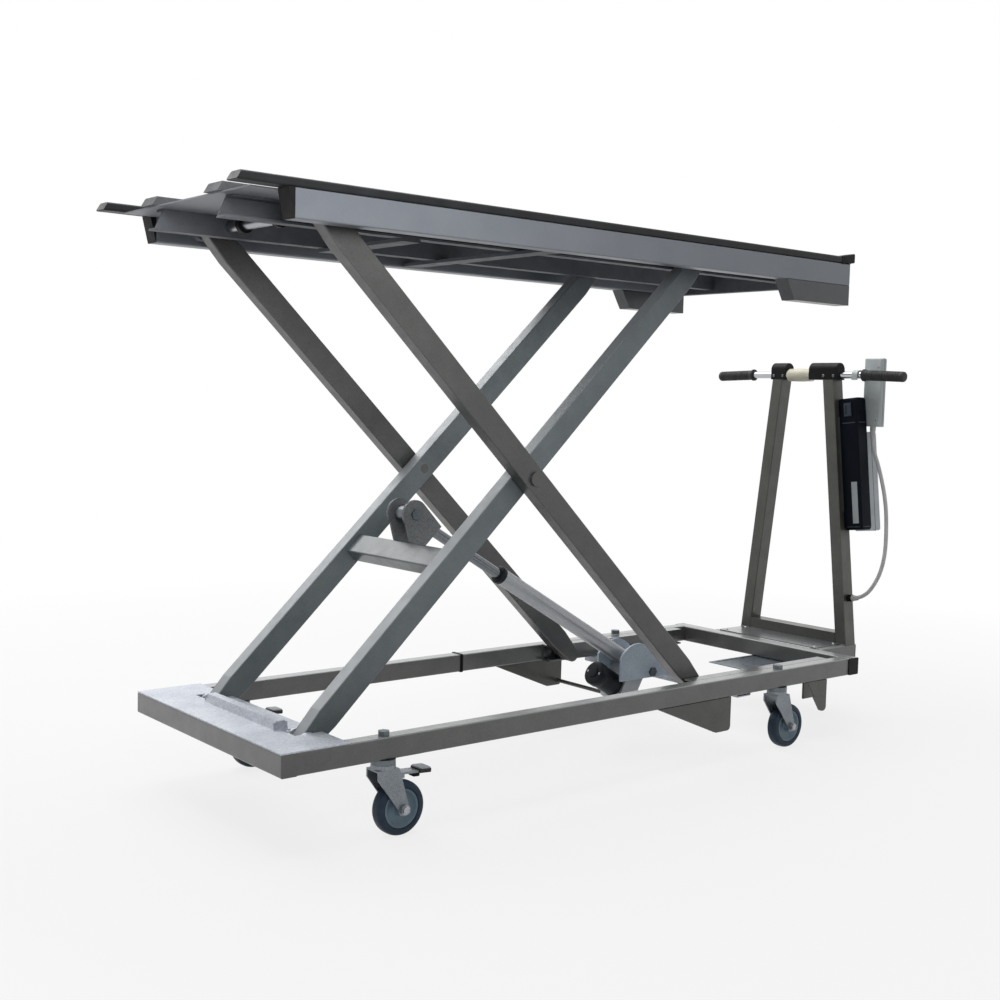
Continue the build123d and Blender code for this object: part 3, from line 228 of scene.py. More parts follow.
def drawn_metal(name, dark, light, along, dull, metallic=1.0, depth=0.10):
    """Metal with fine drawing lines along one axis and faint handling marks."""
    material, tree, shader, place = new_material(name)
    lines = grain(tree, stretched(tree, place, along), scale=150.0, detail=5.0, roughness=0.7)
    smears = grain(tree, place, scale=6.0, detail=5.0)
    colour = ramp(tree, lines, [(0.30, tone(*dark)), (0.70, tone(*light))])
    smudge = ramp(tree, smears, [(0.30, SMUDGE), (0.62, grey(1.0))])
    dress(tree, shader, overlay(tree, colour, smudge), smears, dull - 0.05, dull + 0.08)
    shader.inputs["Metallic"].default_value = metallic
    relief(tree, shader, lines, depth, 0.0004)
    return material


def zinc_plate(name, dark, light, dull, metallic, crystal):
    """Zinc-plated steel: a fine spangle of crystal patches, tarnished in soft clouds."""
    material, tree, shader, place = new_material(name)
    spangle = tree.nodes.new("ShaderNodeTexVoronoi")
    spangle.inputs["Scale"].default_value = crystal
    tree.links.new(place, spangle.inputs["Vector"])
    clouds = grain(tree, place, scale=14.0, detail=6.0)
    patches = ramp(tree, spangle.outputs["Distance"], [(0.05, tone(*light)), (0.75, tone(*dark))])
    tarnish = ramp(tree, clouds, [(0.34, TARNISH), (0.60, grey(1.0))])
    colour = overlay(tree, patches, tarnish)
    dress(tree, shader, colour, grain(tree, place, scale=60.0), dull - 0.06, dull + 0.10)
    shader.inputs["Metallic"].default_value = metallic
    relief(tree, shader, grain(tree, place, scale=320.0, detail=2.0), 0.06, 0.0003)
    return material


def moulded(name, dark, light, dull, skin=700.0, depth=0.12, shine=0.5):
    """Moulded plastic with a fine spark-eroded skin and uneven sheen."""
    material, tree, shader, place = new_material(name)
    clouds = grain(tree, place, scale=16.0, detail=5.0)
    specks = grain(tree, place, scale=150.0, detail=4.0, roughness=0.7)
    shade = ramp(tree, clouds, [(0.30, tone(*dark)), (0.70, tone(*light))])
    dust = ramp(tree, specks, [(0.30, grey(0.88)), (0.46, grey(1.0))])
    colour = overlay(tree, shade, dust)
    dress(tree, shader, colour, grain(tree, place, scale=40.0), dull - 0.05, dull + 0.08)
    shader.inputs["Specular IOR Level"].default_value = shine
    relief(tree, shader, grain(tree, place, scale=skin, detail=2.0), depth, 0.0004)
    return material


def scuffed_rubber(name, dark, light, dull=0.62, shine=0.5):
    """Rubber with dust in its pores and paler scuffs."""
    material, tree, shader, place = new_material(name)
    scuffs = grain(tree, place, scale=24.0, detail=7.0, roughness=0.65)
    dust = ramp(tree, scuffs, [(0.38, tone(*dark)), (0.78, tone(*light))])
    dress(tree, shader, dust, grain(tree, place, scale=60.0), dull - 0.08, dull + 0.10)
    shader.inputs["Specular IOR Level"].default_value = shine
    relief(tree, shader, grain(tree, place, scale=480.0, detail=3.0), 0.22, 0.0005)
    return material


# Painted light: the frame's faces that look up are made paler for the light from above.
frame_paint = stoved_paint(
    "frame_paint", (68, 70, 68), (86, 88, 85), speck=0.78, dull=0.42, metallic=0.1, coat=0.85, top_light=0.35
)
# Painted light: the rising arms' faces that look up are made paler for the light from above.
rising_paint = stoved_paint(
    "rising_paint", (77, 85, 89), (96, 104, 108), speck=0.76, dull=0.50, metallic=0.2, coat=0.5, top_light=0.45,
    peel=0.0, haze=0.50,
)
brace_paint = stoved_paint(
    "brace_paint", (76, 83, 86), (96, 103, 106), speck=0.76, dull=0.40, metallic=0.2, coat=0.6
)
# Painted shade: the falling arms take a darker copy of the arm paint, standing in for the shade on their
# faces that turn away from the light.
shaded_falling_paint = stoved_paint(
    "shaded_falling_paint", (54, 56, 54), (71, 72, 70), speck=0.68, dull=0.44, metallic=0.15, coat=0.5
)
skid_paint = stoved_paint(
    "skid_paint", (58, 58, 53), (75, 75, 69), speck=0.76, dull=0.44, metallic=0.2, coat=0.4
)
post_paint = stoved_paint(
    "post_paint", (60, 60, 55), (80, 80, 74), speck=0.76, dull=0.42, metallic=0.2, coat=0.4
)
under_paint = stoved_paint(
    "under_paint", (74, 77, 82), (94, 97, 102), speck=0.84, dull=0.60, metallic=0.0, coat=0.0
)
bar_paint = stoved_paint("bar_paint", (58, 60, 62), (78, 80, 83), speck=0.80, dull=0.34, metallic=0.3)
ledge_paint = stoved_paint(
    "ledge_paint", (58, 60, 62), (78, 80, 83), speck=0.80, dull=0.64, metallic=0.0, coat=0.0
)
foot_paint = stoved_paint(
    "foot_paint", (44, 49, 52), (58, 63, 67), speck=0.82, dull=0.40, metallic=0.2, coat=0.4
)
panel_dark = stoved_paint("panel_dark", (94, 97, 100), (114, 117, 120), speck=0.80, dull=0.34)

tray_zinc = zinc_plate(
    "tray_zinc", (118, 128, 136), (140, 150, 158), dull=0.30, metallic=0.6, crystal=300.0
)
deck_zinc = zinc_plate(
    "deck_zinc", (186, 191, 200), (214, 219, 228), dull=0.34, metallic=0.35, crystal=160.0
)
caster_zinc = zinc_plate(
    "caster_zinc", (92, 99, 103), (124, 131, 135), dull=0.32, metallic=0.8, crystal=420.0
)
fork_zinc = zinc_plate(
    "fork_zinc", (124, 130, 136), (158, 164, 170), dull=0.34, metallic=0.6, crystal=420.0
)
cast_pale = zinc_plate(
    "cast_pale", (188, 203, 217), (212, 226, 238), dull=0.38, metallic=0.0, crystal=260.0
)
bracket_grey = zinc_plate(
    "bracket_grey", (92, 95, 97), (118, 121, 123), dull=0.44, metallic=0.4, crystal=320.0
)

ALONG_TABLE = (0.6, 40.0, 40.0)
ALONG_SHAFT = (40.0, 1.0, 40.0)
ALONG_HANDLEBAR = (30.0, 1.0, 30.0)
ALONG_ACTUATOR = (1.0, 6.0, 1.0)
shaft_steel = drawn_metal("shaft_steel", (150, 152, 155), (182, 184, 187), ALONG_SHAFT, dull=0.30)
rod_steel = drawn_metal(
    "rod_steel", (100, 103, 107), (124, 127, 131), ALONG_ACTUATOR, dull=0.24, depth=0.0
)
tube_grey = drawn_metal(
    "tube_grey", (158, 161, 164), (182, 185, 188), ALONG_ACTUATOR, dull=0.36, metallic=0.4, depth=0.02
)
table_brushed = drawn_metal(
    "table_brushed", (108, 112, 118), (128, 132, 139), ALONG_TABLE, dull=0.40, metallic=0.45
)
deck_brushed = drawn_metal(
    "deck_brushed", (128, 130, 136), (150, 152, 158), ALONG_TABLE, dull=0.46, metallic=0.2
)
bar_chrome = drawn_metal(
    "bar_chrome", (172, 174, 178), (196, 198, 202), ALONG_HANDLEBAR, dull=0.18, depth=0.03
)

edging_black = moulded("edging_black", (20, 21, 23), (33, 34, 36), dull=0.42, shine=0.25)
cap_black = moulded("cap_black", (12, 12, 13), (22, 22, 23), dull=0.50, shine=0.15)
motor_black = moulded("motor_black", (16, 20, 25), (28, 33, 39), dull=0.42, skin=500.0, shine=0.15)
hub_blue = moulded("hub_blue", (98, 120, 134), (120, 142, 156), dull=0.34, shine=0.4)
battery_navy = moulded("battery_navy", (7, 11, 19), (13, 19, 30), dull=0.42, shine=0.06)
label_pale = moulded("label_pale", (158, 166, 168), (172, 180, 182), dull=0.40, skin=900.0, depth=0.05)
latch_grey = moulded("latch_grey", (40, 48, 60), (58, 66, 79), dull=0.38, shine=0.3)
box_grey = moulded("box_grey", (182, 189, 194), (200, 207, 212), dull=0.42)
handset_grey = moulded("handset_grey", (170, 177, 178), (190, 197, 198), dull=0.40)
button_pale = moulded("button_pale", (206, 208, 208), (220, 222, 222), dull=0.38)
mark_dark = moulded("mark_dark", (40, 42, 44), (54, 56, 58), dull=0.45)
sleeve_cream = moulded("sleeve_cream", (196, 192, 172), (214, 210, 190), dull=0.46)
cable_pale = moulded("cable_pale", (186, 186, 188), (204, 204, 206), dull=0.46, skin=500.0, depth=0.10)

grip_rubber = scuffed_rubber("grip_rubber", (12, 12, 13), (30, 30, 31))
tyre_navy = scuffed_rubber("tyre_navy", (32, 46, 60), (55, 73, 91), dull=0.50, shine=0.25)

FINISHES = {
    frame_paint: ("side_rails", "base_bars", "tail_tubes"),
    post_paint: ("handle_frame",),
    skid_paint: ("skid_plates",),
    rising_paint: ("rising_arms",),
    brace_paint: ("arm_cross_tube",),
    shaded_falling_paint: ("falling_arms", "centre_pivot_pins"),
    bar_paint: ("base_tracks", "power_bracket"),
    ledge_paint: ("deck_bars",),
    under_paint: ("table_cross_bars", "table_tracks", "pivot_lugs"),
    foot_paint: ("table_end_feet",),
    deck_zinc: ("front_deck_plate", "arm_foot_brackets", "actuator_cross_tube"),
    caster_zinc: ("caster_heads", "actuator_foot_pin", "upper_bracket_bolts"),
    fork_zinc: (
        *(f"caster_fork_{corner}" for corner, station, y in CASTERS),
        "brake_pedal_front_left", "brake_pedal_front_right",
    ),
    shaft_steel: (
        "lower_pivot_shaft", "upper_pivot_shaft", "base_roller_left", "base_roller_right",
        "table_roller_left", "table_roller_right",
    ),
    rod_steel: ("actuator_rod",),
    table_brushed: ("table_side_rails",),
    deck_brushed: ("table_deck",),
    bar_chrome: ("handlebar",),
    edging_black: ("edge_bars",),
    cap_black: ("tube_caps", "table_end_plugs", "shaft_collars", "handlebar_clamps", "cable_gland"),
    grip_rubber: ("handle_grips",),
    panel_dark: ("tail_deck_plate",),
    cast_pale: ("actuator_foot_bracket",),
    bracket_grey: ("actuator_upper_bracket",),
    tube_grey: ("actuator_housing",),
    motor_black: ("actuator_motor",),
    tyre_navy: [f"caster_wheel_{corner}" for corner, station, y in CASTERS],
    battery_navy: ("battery_pack",),
    box_grey: ("control_box",),
    handset_grey: ("handset",),
    button_pale: ("up_button", "down_button"),
    cable_pale: ("handset_cable",),
}
for material, names in FINISHES.items():
    for name in names:
        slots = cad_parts[name].data.materials
        slots.clear()
        slots.append(material)


# Handset cable: from the handset down past the control box to the gland on the post
CABLE_WIDTH = 0.012
CABLE_RADIUS = CABLE_WIDTH / 2
HANDSET_X = POST_X + 0.064
HANDSET_Y = -0.214
CABLE_ROUTE = [
    (HANDSET_X, HANDSET_Y, 0.906), (HANDSET_X, HANDSET_Y, 0.856), (HANDSET_X, -0.24307, 0.793),
    (POST_X + 0.058, -0.27758, 0.690), (POST_X + 0.046, -0.29364, 0.600), (POST_X + 0.030, -0.30314, 0.515),
    (POST_X + 0.014, -0.29297, 0.445), (POST_X, -0.25431, 0.38366), (POST_X, -0.21257, 0.3790),
]


def lay_cable():
    line = bpy.data.curves.new("handset_lead", "CURVE")
    line.dimensions = "3D"
    spline = line.splines.new("NURBS")
    spline.points.add(len(CABLE_ROUTE) - 1)
    for point, place in zip(spline.points, CABLE_ROUTE):
        point.co = (*place, 1.0)
    spline.order_u = 3
    spline.use_endpoint_u = True
    line.resolution_u = 16
    line.bevel_depth = CABLE_RADIUS
    line.bevel_resolution = 6
    line.use_fill_caps = True
    lead = bpy.data.objects.new("handset_lead", line)
    scene.collection.objects.link(lead)
    line.materials.append(cable_pale)
    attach(lead, "base")
    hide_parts("handset_cable")


lay_cable()


# Modelling steps
SAME_POINT = 0.00002


def clear_selection():
    bpy.ops.object.select_all(action="DESELECT")


def make_active(piece):
    clear_selection()
    piece.select_set(True)
    bpy.context.view_layer.objects.active = piece


def open_mesh(piece):
    make_active(piece)
    bpy.ops.object.mode_set(mode="EDIT")


def close_mesh():
    bpy.ops.object.mode_set(mode="OBJECT")


def apply_place():
    """Puts the place, turn and size of what is selected into its mesh."""
    bpy.ops.object.transform_apply(location=True, rotation=True, scale=True)


def new_piece(name):
    """Names the primitive just added and puts its place and size into its mesh."""
    piece = bpy.context.object
    piece.name = piece.data.name = name
    apply_place()
    return piece


def settle(piece, body, material, smooth=35):
    """Puts the piece's place into its mesh, gives it its finish and lets it ride on a body."""
    make_active(piece)
    apply_place()
    if not piece.data.materials:
        piece.data.materials.append(material)
    bpy.ops.object.shade_smooth_by_angle(angle=radians(smooth))
    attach(piece, body)


def pick_faces(piece, wanted):
    """Selects, in edit mode, the faces whose middle and normal pass a test."""
    bpy.ops.mesh.select_mode(type="FACE")
    bpy.ops.mesh.select_all(action="DESELECT")
    close_mesh()
    for face in piece.data.polygons:
        face.select = wanted(face.center, face.normal)
    bpy.ops.object.mode_set(mode="EDIT")


def pick_upright_edges(piece):
    """Selects, in edit mode, the edges that run along Z."""
    bpy.ops.mesh.select_mode(type="EDGE")
    bpy.ops.mesh.select_all(action="DESELECT")
    close_mesh()
    for edge in piece.data.edges:
        first, last = (piece.data.vertices[i].co for i in edge.vertices)
        edge.select = abs((last - first).normalized().z) > 0.9
    bpy.ops.object.mode_set(mode="EDIT")


def looks_up(middle, normal):
    return normal.z > 0.99


def step_panel(piece, wanted, rim, move):
    """Insets the wanted faces by a rim and moves the panel inside the rim in or out."""
    open_mesh(piece)
    pick_faces(piece, wanted)
    bpy.ops.mesh.inset(thickness=rim, depth=0.0)
    bpy.ops.mesh.extrude_region_move(TRANSFORM_OT_translate={"value": move})
    close_mesh()


def loose_point(name):
    """A new piece that is one loose point at the origin, left in edit mode."""
    clear_selection()
    bpy.ops.mesh.primitive_plane_add(size=0.001, location=(0, 0, 0))
    piece = new_piece(name)
    open_mesh(piece)
    bpy.ops.mesh.select_mode(type="VERT")
    bpy.ops.mesh.select_all(action="SELECT")
    bpy.ops.mesh.merge(type="CENTER")
    return piece


def draw_out(route):
    """Extrudes a loose point along a route, from the route's start, and selects the line."""
    place = route[0]
    bpy.ops.transform.translate(value=place)
    for onward in route[1:]:
        step = tuple(new - old for new, old in zip(onward, place))
        bpy.ops.mesh.extrude_vertices_move(TRANSFORM_OT_translate={"value": step})
        place = onward
    bpy.ops.mesh.select_all(action="SELECT")


def thicken(piece, thickness, even=False):
    """Gives an open sheet its thickness, half to each side."""
    wall = piece.modifiers.new("wall", "SOLIDIFY")
    wall.thickness = thickness
    wall.offset = 0.0
    wall.use_even_offset = even
    bpy.ops.object.modifier_apply(modifier="wall")


def blank(name, low, high):
    """A sharp-edged block between two corners, to be shaped further."""
    clear_selection()
    low, high = Vector(low), Vector(high)
    bpy.ops.mesh.primitive_cube_add(size=1.0, location=(low + high) / 2, scale=high - low)
    return new_piece(name)


def block(name, low, high, rounding, segments=3):
    """A rounded block between two corners."""
    piece = blank(name, low, high)
    open_mesh(piece)
    bpy.ops.mesh.select_all(action="SELECT")
    bpy.ops.mesh.bevel(offset=rounding, segments=segments, profile=0.5, affect="EDGES")
    close_mesh()
    return piece


def turned(name, profile, steps=48):
    """A turned piece about the Z axis, from a profile of (height, radius) points."""
    piece = loose_point(name)
    draw_out([(radius, 0, height) for height, radius in profile])
    bpy.ops.mesh.spin(steps=steps, angle=2 * pi, center=(0, 0, 0), axis=(0, 0, 1))
    bpy.ops.mesh.select_all(action="SELECT")
    bpy.ops.mesh.remove_doubles(threshold=SAME_POINT)
    bpy.ops.mesh.normals_make_consistent(inside=False)
    close_mesh()
    return piece


def pointed(place, along):
    """The turn that puts a piece's foot at a place and its Z axis along a direction."""
    swing = Vector((0, 0, 1)).rotation_difference(Vector(along))
    return Matrix.Translation(place) @ swing.to_matrix().to_4x4()


def copy_of(pattern, name):
    """A copy of a pattern piece, with a mesh of its own."""
    piece = bpy.data.objects.new(name, pattern.data.copy())
    piece.data.name = name
    scene.collection.objects.link(piece)
    return piece


def put_away(*patterns):
    """Removes pattern pieces that have been copied."""
    for pattern in patterns:
        bpy.data.meshes.remove(pattern.data)


def set_of(name, pattern, placings):
    """The pattern piece at the first place and copies at the others, joined to one set."""
    pattern.name = pattern.data.name = name
    pieces = [pattern] + [copy_of(pattern, name) for placing in placings[1:]]
    make_active(pattern)
    for piece, placing in zip(pieces, placings):
        piece.matrix_world = placing
        piece.select_set(True)
    apply_place()
    bpy.ops.object.join()
    return pattern


WASHER_HEIGHT = 0.22


def hexagon_nut(name, across, height):
    """A hexagon head with chamfered corners and a raised middle, on a round washer."""
    clear_selection()
    bpy.ops.mesh.primitive_cylinder_add(
        vertices=6, radius=across / 2 / cos(pi / 6), depth=height, location=(0, 0, height / 2),
        end_fill_type="NGON",
    )
    nut = new_piece(name)
    open_mesh(nut)
    pick_faces(nut, lambda middle, normal: abs(normal.z) > 0.9)
    bpy.ops.mesh.bevel(offset=across * 0.06, segments=2, affect="EDGES")
    close_mesh()
    step_panel(nut, lambda middle, normal: normal.z > 0.9, across * 0.14, (0, 0, height * 0.18))
    foot = -height * WASHER_HEIGHT
    radius = across * 0.66
    washer = turned(name + "_washer", [(foot, 0.0), (foot, radius), (0.0, radius), (0.0, 0.0)], steps=32)
    make_active(nut)
    washer.select_set(True)
    bpy.ops.object.join()
    return nut


def screw_head(name, radius):
    """A domed screw head with a round drive recess."""
    dome = radius * 0.55
    return turned(name, [
        (0.0, 0.0), (0.0, radius), (dome * 0.4, radius * 0.97), (dome * 0.8, radius * 0.74),
        (dome, radius * 0.46), (dome * 0.98, radius * 0.40), (dome * 0.4, radius * 0.36), (dome * 0.4, 0.0),
    ], steps=28)


# Caster wheels: a tyre with rounded shoulders on a dished hub with a raised boss, and nuts on the axles
AXLE_Z = 0.0625
TYRE_INNER = 0.0445
WHEEL_SIDE = [
    (0.0197, 0.0063), (0.0197, 0.0140), (0.0188, 0.0152), (0.0110, 0.0164), (0.0082, 0.0186),
    (0.0074, 0.0225), (0.0078, 0.0330), (0.0096, 0.0362), (0.0138, 0.0388), (0.0146, 0.0400),
    (0.0146, TYRE_INNER), (0.0136, 0.0450), (0.0136, 0.0456), (0.0157, 0.0466), (0.0160, 0.0480),
    (0.0160, 0.0545), (0.0152, 0.0578), (0.0132, 0.0602), (0.0100, 0.0616), (0.0060, 0.0623), (0.0, 0.0625),
]
AXLE_HEAD = 0.030
NUT_ACROSS = 0.017
NUT_HEIGHT = 0.005


def caster_wheels():
    far_side = [(-height, radius) for height, radius in WHEEL_SIDE]
    pattern = turned("castor_wheel", far_side + WHEEL_SIDE[-2::-1] + far_side[:1], steps=72)
    pattern.data.materials.append(tyre_navy)
    pattern.data.materials.append(hub_blue)
    for face in pattern.data.polygons:
        face.material_index = int(face.center.xy.length < TYRE_INNER)
    for corner, station, y in CASTERS:
        wheel = copy_of(pattern, f"castor_wheel_{corner}")
        wheel.matrix_world = pointed((at(station), y, AXLE_Z), (0, 1, 0))
        settle(wheel, f"wheel_{corner}", tyre_navy, smooth=32)
        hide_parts(f"caster_wheel_{corner}")
    put_away(pattern)


def axle_nuts():
    pattern = hexagon_nut("axle_nut", NUT_ACROSS, NUT_HEIGHT)
    foot = AXLE_HEAD + NUT_HEIGHT * WASHER_HEIGHT
    for corner, station, y in CASTERS:
        nut = copy_of(pattern, f"axle_nut_{corner}")
        places = [pointed((at(station), y + side * foot, AXLE_Z), (0, side, 0)) for side, hand in SIDES]
        pair = set_of(f"axle_nuts_{corner}", nut, places)
        settle(pair, f"fork_{corner}", shaft_steel, smooth=25)
    put_away(pattern)


# Arms: bent strips that close the tapered ends of the hollow arms
ARM_LENGTH = 1.674
ARM_ANGLE = radians(43.6)
ARM_THICKNESS = 0.040
ARM_WALL = 0.003
ARM_END_RADIUS = 0.022
ARM_HALF = 0.030
ARM_TAPER = 0.075
FALLING_MID = 0.252
RISING_MID = 0.207
PIVOT = Vector((at(0.134), 0.0, 0.205))
STRIP_SUNK = 0.0016
STRIP_THICKNESS = 0.0026
STRIP_REACH = 0.050
STRIP_LAP = 0.0002
STRIP_STEPS = 12


def toe_strip(name):
    """A strip round an arm's end and along both its tapers, with the end's bore at the origin."""
    radius = ARM_END_RADIUS - STRIP_SUNK
    wide = radius + (ARM_HALF - ARM_END_RADIUS) * STRIP_REACH / ARM_TAPER
    half_width = ARM_THICKNESS / 2 - ARM_WALL + STRIP_LAP
    route = [(STRIP_REACH, -half_width, wide)]
    for step in range(STRIP_STEPS + 1):
        bearing = pi / 2 + pi * step / STRIP_STEPS
        route.append((radius * cos(bearing), -half_width, radius * sin(bearing)))
    route.append((STRIP_REACH, -half_width, -wide))
    strip = loose_point(name)
    draw_out(route)
    bpy.ops.mesh.extrude_edges_move(TRANSFORM_OT_translate={"value": (0, 2 * half_width, 0)})
    close_mesh()
    thicken(strip, STRIP_THICKNESS, even=True)
    return strip


def toe_strips():
    rise = Vector((ARM_LENGTH * cos(ARM_ANGLE), 0, ARM_LENGTH * sin(ARM_ANGLE)))
    above, behind = PIVOT + Vector((0, 0, rise.z)), PIVOT + Vector((rise.x, 0, 0))
    arms = (
        ("rising", RISING_MID, PIVOT, PIVOT + rise, rising_paint),
        ("falling", FALLING_MID, above, behind, shaded_falling_paint),
    )
    pattern = toe_strip("toe_strip")
    for body, middle, front, rear, paint in arms:
        strip = copy_of(pattern, f"{body}_toe_strip")
        places = []
        for end, other in ((front, rear), (rear, front)):
            bearing = atan2(other.z - end.z, other.x - end.x)
            for y in (-middle, middle):
                places.append(Matrix.Translation(end + Vector((0, y, 0))) @ Matrix.Rotation(-bearing, 4, "Y"))
        settle(set_of(f"{body}_toe_strips", strip, places), body, paint, smooth=40)
    put_away(pattern)


# Base: end plates of the front ridge, webs beside the rear skids, tray in the rear corner
RIDGE_HALF = RISING_MID - ARM_THICKNESS / 2 - 0.022
RIDGE_FRONT = 0.0875
RIDGE_REAR = 0.1225
RIDGE_HEIGHT = 0.0185
RIDGE_PLATE = 0.0026
RIDGE_SUNK = 0.0004
RIDGE_NARROWS = 0.5
WEB_FRONT = 1.716
WEB_REAR = 1.776
WEB_BOTTOM = 0.1340
WEB_THICKNESS = 0.0064
WEB_LAP = 0.0004
WEB_Y = RAIL_OUTER - 0.0040
TRAY_LOW = (at(1.722), -0.3320, 0.1768)
TRAY_HIGH = (at(1.946), 0.0200, 0.1798)
TRAY_RIM = 0.0120
TRAY_DEPTH = 0.0012


def ridge_ends():
    pattern = block(
        "ridge_end", (at(RIDGE_FRONT), -RIDGE_PLATE / 2, RAIL_TOP + RIDGE_SUNK),
        (at(RIDGE_REAR), RIDGE_PLATE / 2, RAIL_TOP + RIDGE_HEIGHT), rounding=0.0003, segments=1,
    )
    open_mesh(pattern)
    pick_faces(pattern, looks_up)
    bpy.ops.transform.resize(value=(RIDGE_NARROWS, 1.0, 1.0))
    close_mesh()
    for side, hand in SIDES:
        plate = copy_of(pattern, f"ridge_end_{hand}")
        plate.location.y = side * (RIDGE_HALF - RIDGE_SUNK - RIDGE_PLATE / 2)
        settle(plate, "base", deck_zinc, smooth=20)
    put_away(pattern)


def skid_webs():
    pattern = block(
        "skid_web", (at(WEB_FRONT), -WEB_THICKNESS / 2, WEB_BOTTOM),
        (at(WEB_REAR), WEB_THICKNESS / 2, RAIL_BOTTOM + WEB_LAP), rounding=0.0008, segments=2,
    )
    for side, hand in SIDES:
        web = copy_of(pattern, f"skid_web_{hand}")
        web.location.y = side * WEB_Y
        settle(web, "base", skid_paint, smooth=30)
    put_away(pattern)


def corner_tray():
    tray = block("corner_tray", TRAY_LOW, TRAY_HIGH, rounding=0.0008, segments=2)
    step_panel(tray, looks_up, TRAY_RIM, (0, 0, -TRAY_DEPTH))
    settle(tray, "base", tray_zinc, smooth=30)


# Brake pedals: a ribbed rubber shoe over each pad and a brake block under the lever
PEDAL_PIN_STATION = 0.288
PEDAL_PIN_Z = 0.143
PEDAL_LENGTH = 0.098
PEDAL_DROP = 0.006
PAD_LENGTH = 0.030
PAD_WIDTH = 0.038
PAD_TOP = 0.006
SHOE_SKIN = 0.0008
SHOE_UNDER = 0.0035
SHOE_RIM = 0.0020
SHOE_RIB = 0.0028
SHOE_RIB_HEIGHT = 0.0010
BRAKE_LOW = (0.056, -0.011, -0.0125)
BRAKE_HIGH = (0.074, 0.011, -0.0024)


def pedal_shoe(name):
    end = PEDAL_LENGTH + SHOE_SKIN
    half = PAD_WIDTH / 2 + SHOE_SKIN
    shoe = block(
        name, (end - PAD_LENGTH - 2 * SHOE_SKIN, -half, -SHOE_UNDER), (end, half, PAD_TOP + SHOE_SKIN),
        rounding=0.0024,
    )

    def on_rib(middle, normal):
        return looks_up(middle, normal) and int((middle.x - end) / SHOE_RIB) % 2 == 0

    open_mesh(shoe)
    pick_faces(shoe, looks_up)
    bpy.ops.mesh.inset(thickness=SHOE_RIM, depth=0.0)
    bpy.ops.mesh.subdivide(number_cuts=8)
    pick_faces(shoe, on_rib)
    bpy.ops.mesh.extrude_region_move(TRANSFORM_OT_translate={"value": (0, 0, SHOE_RIB_HEIGHT)})
    close_mesh()
    return shoe


def pedal_shoes():
    shoe = pedal_shoe("pedal_shoe")
    brake = block("brake_block", BRAKE_LOW, BRAKE_HIGH, rounding=0.0028)
    slope = Matrix.Rotation(atan2(PEDAL_DROP, PEDAL_LENGTH), 4, "Y")
    for side, hand in SIDES:
        pin = Matrix.Translation((at(PEDAL_PIN_STATION), side * CASTER_Y, PEDAL_PIN_Z))
        for pattern, material in ((shoe, grip_rubber), (brake, cap_black)):
            piece = copy_of(pattern, f"{pattern.name}_{hand}")
            piece.matrix_world = pin @ slope
            settle(piece, f"pedal_front_{hand}", material)
    put_away(shoe, brake)


# Handlebar: ribbed grips and the pale sleeve between the clamps
BAR_Z = 1.077
BAR_END_Y = 0.360
BAR_END_DROP = 0.005
BAR_END_LENGTH = 0.150
BAR_RADIUS = 0.011
GRIP_RADIUS = 0.0160
GRIP_BORE = BAR_RADIUS + 0.0001
GRIP_LENGTH = 0.144
GRIP_CAP = [(-0.0040, 0.0), (-0.0040, 0.0105), (-0.0032, 0.0134), (-0.0008, 0.0154), (0.0030, GRIP_RADIUS)]
GRIP_FLANGE = [(-0.0085, GRIP_RADIUS), (-0.0060, 0.0188), (-0.0012, 0.0190), (0.0, 0.0180), (0.0, GRIP_BORE)]
GROOVES = 13
GROOVE_START = 0.0100
GROOVE_PITCH = 0.0092
GROOVE = ((0.0, 0.0), (0.0012, -0.0016), (0.0034, -0.0016), (0.0046, 0.0))
SLEEVE_LEFT = -0.0209
SLEEVE_LENGTH = 0.0898
SLEEVE_RADIUS = 0.0204
SLEEVE_SWELL = 0.0210
SLEEVE_EDGE = 0.0190
SLEEVE_CHAMFER = 0.0014


def grips():
    profile = list(GRIP_CAP)
    for number in range(GROOVES):
        start = GROOVE_START + number * GROOVE_PITCH
        profile += [(start + along, GRIP_RADIUS + out) for along, out in GROOVE]
    profile += [(GRIP_LENGTH + along, radius) for along, radius in GRIP_FLANGE]
    profile += [(0.0, GRIP_BORE), (0.0, 0.0)]
    pattern = turned("grip", profile, steps=40)
    for side, hand in SIDES:
        grip = copy_of(pattern, f"grip_{hand}")
        inward = Vector((0, -side * BAR_END_LENGTH, BAR_END_DROP)).normalized()
        grip.matrix_world = pointed((POST_X, side * BAR_END_Y, BAR_Z - BAR_END_DROP), inward)
        settle(grip, "base", grip_rubber, smooth=50)
        if hand == "left":
            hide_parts("handle_grips")
    put_away(pattern)


def bar_sleeve():
    sleeve = turned("bar_sleeve", [
        (0.0, BAR_RADIUS), (0.0, SLEEVE_EDGE), (SLEEVE_CHAMFER, SLEEVE_RADIUS),
        (SLEEVE_LENGTH * 0.30, SLEEVE_RADIUS), (SLEEVE_LENGTH * 0.32, SLEEVE_SWELL),
        (SLEEVE_LENGTH * 0.68, SLEEVE_SWELL), (SLEEVE_LENGTH * 0.70, SLEEVE_RADIUS),
        (SLEEVE_LENGTH - SLEEVE_CHAMFER, SLEEVE_RADIUS), (SLEEVE_LENGTH, SLEEVE_EDGE),
        (SLEEVE_LENGTH, BAR_RADIUS), (0.0, BAR_RADIUS),
    ])
    sleeve.matrix_world = pointed((POST_X, SLEEVE_LEFT, BAR_Z), (0, 1, 0))
    settle(sleeve, "base", sleeve_cream)


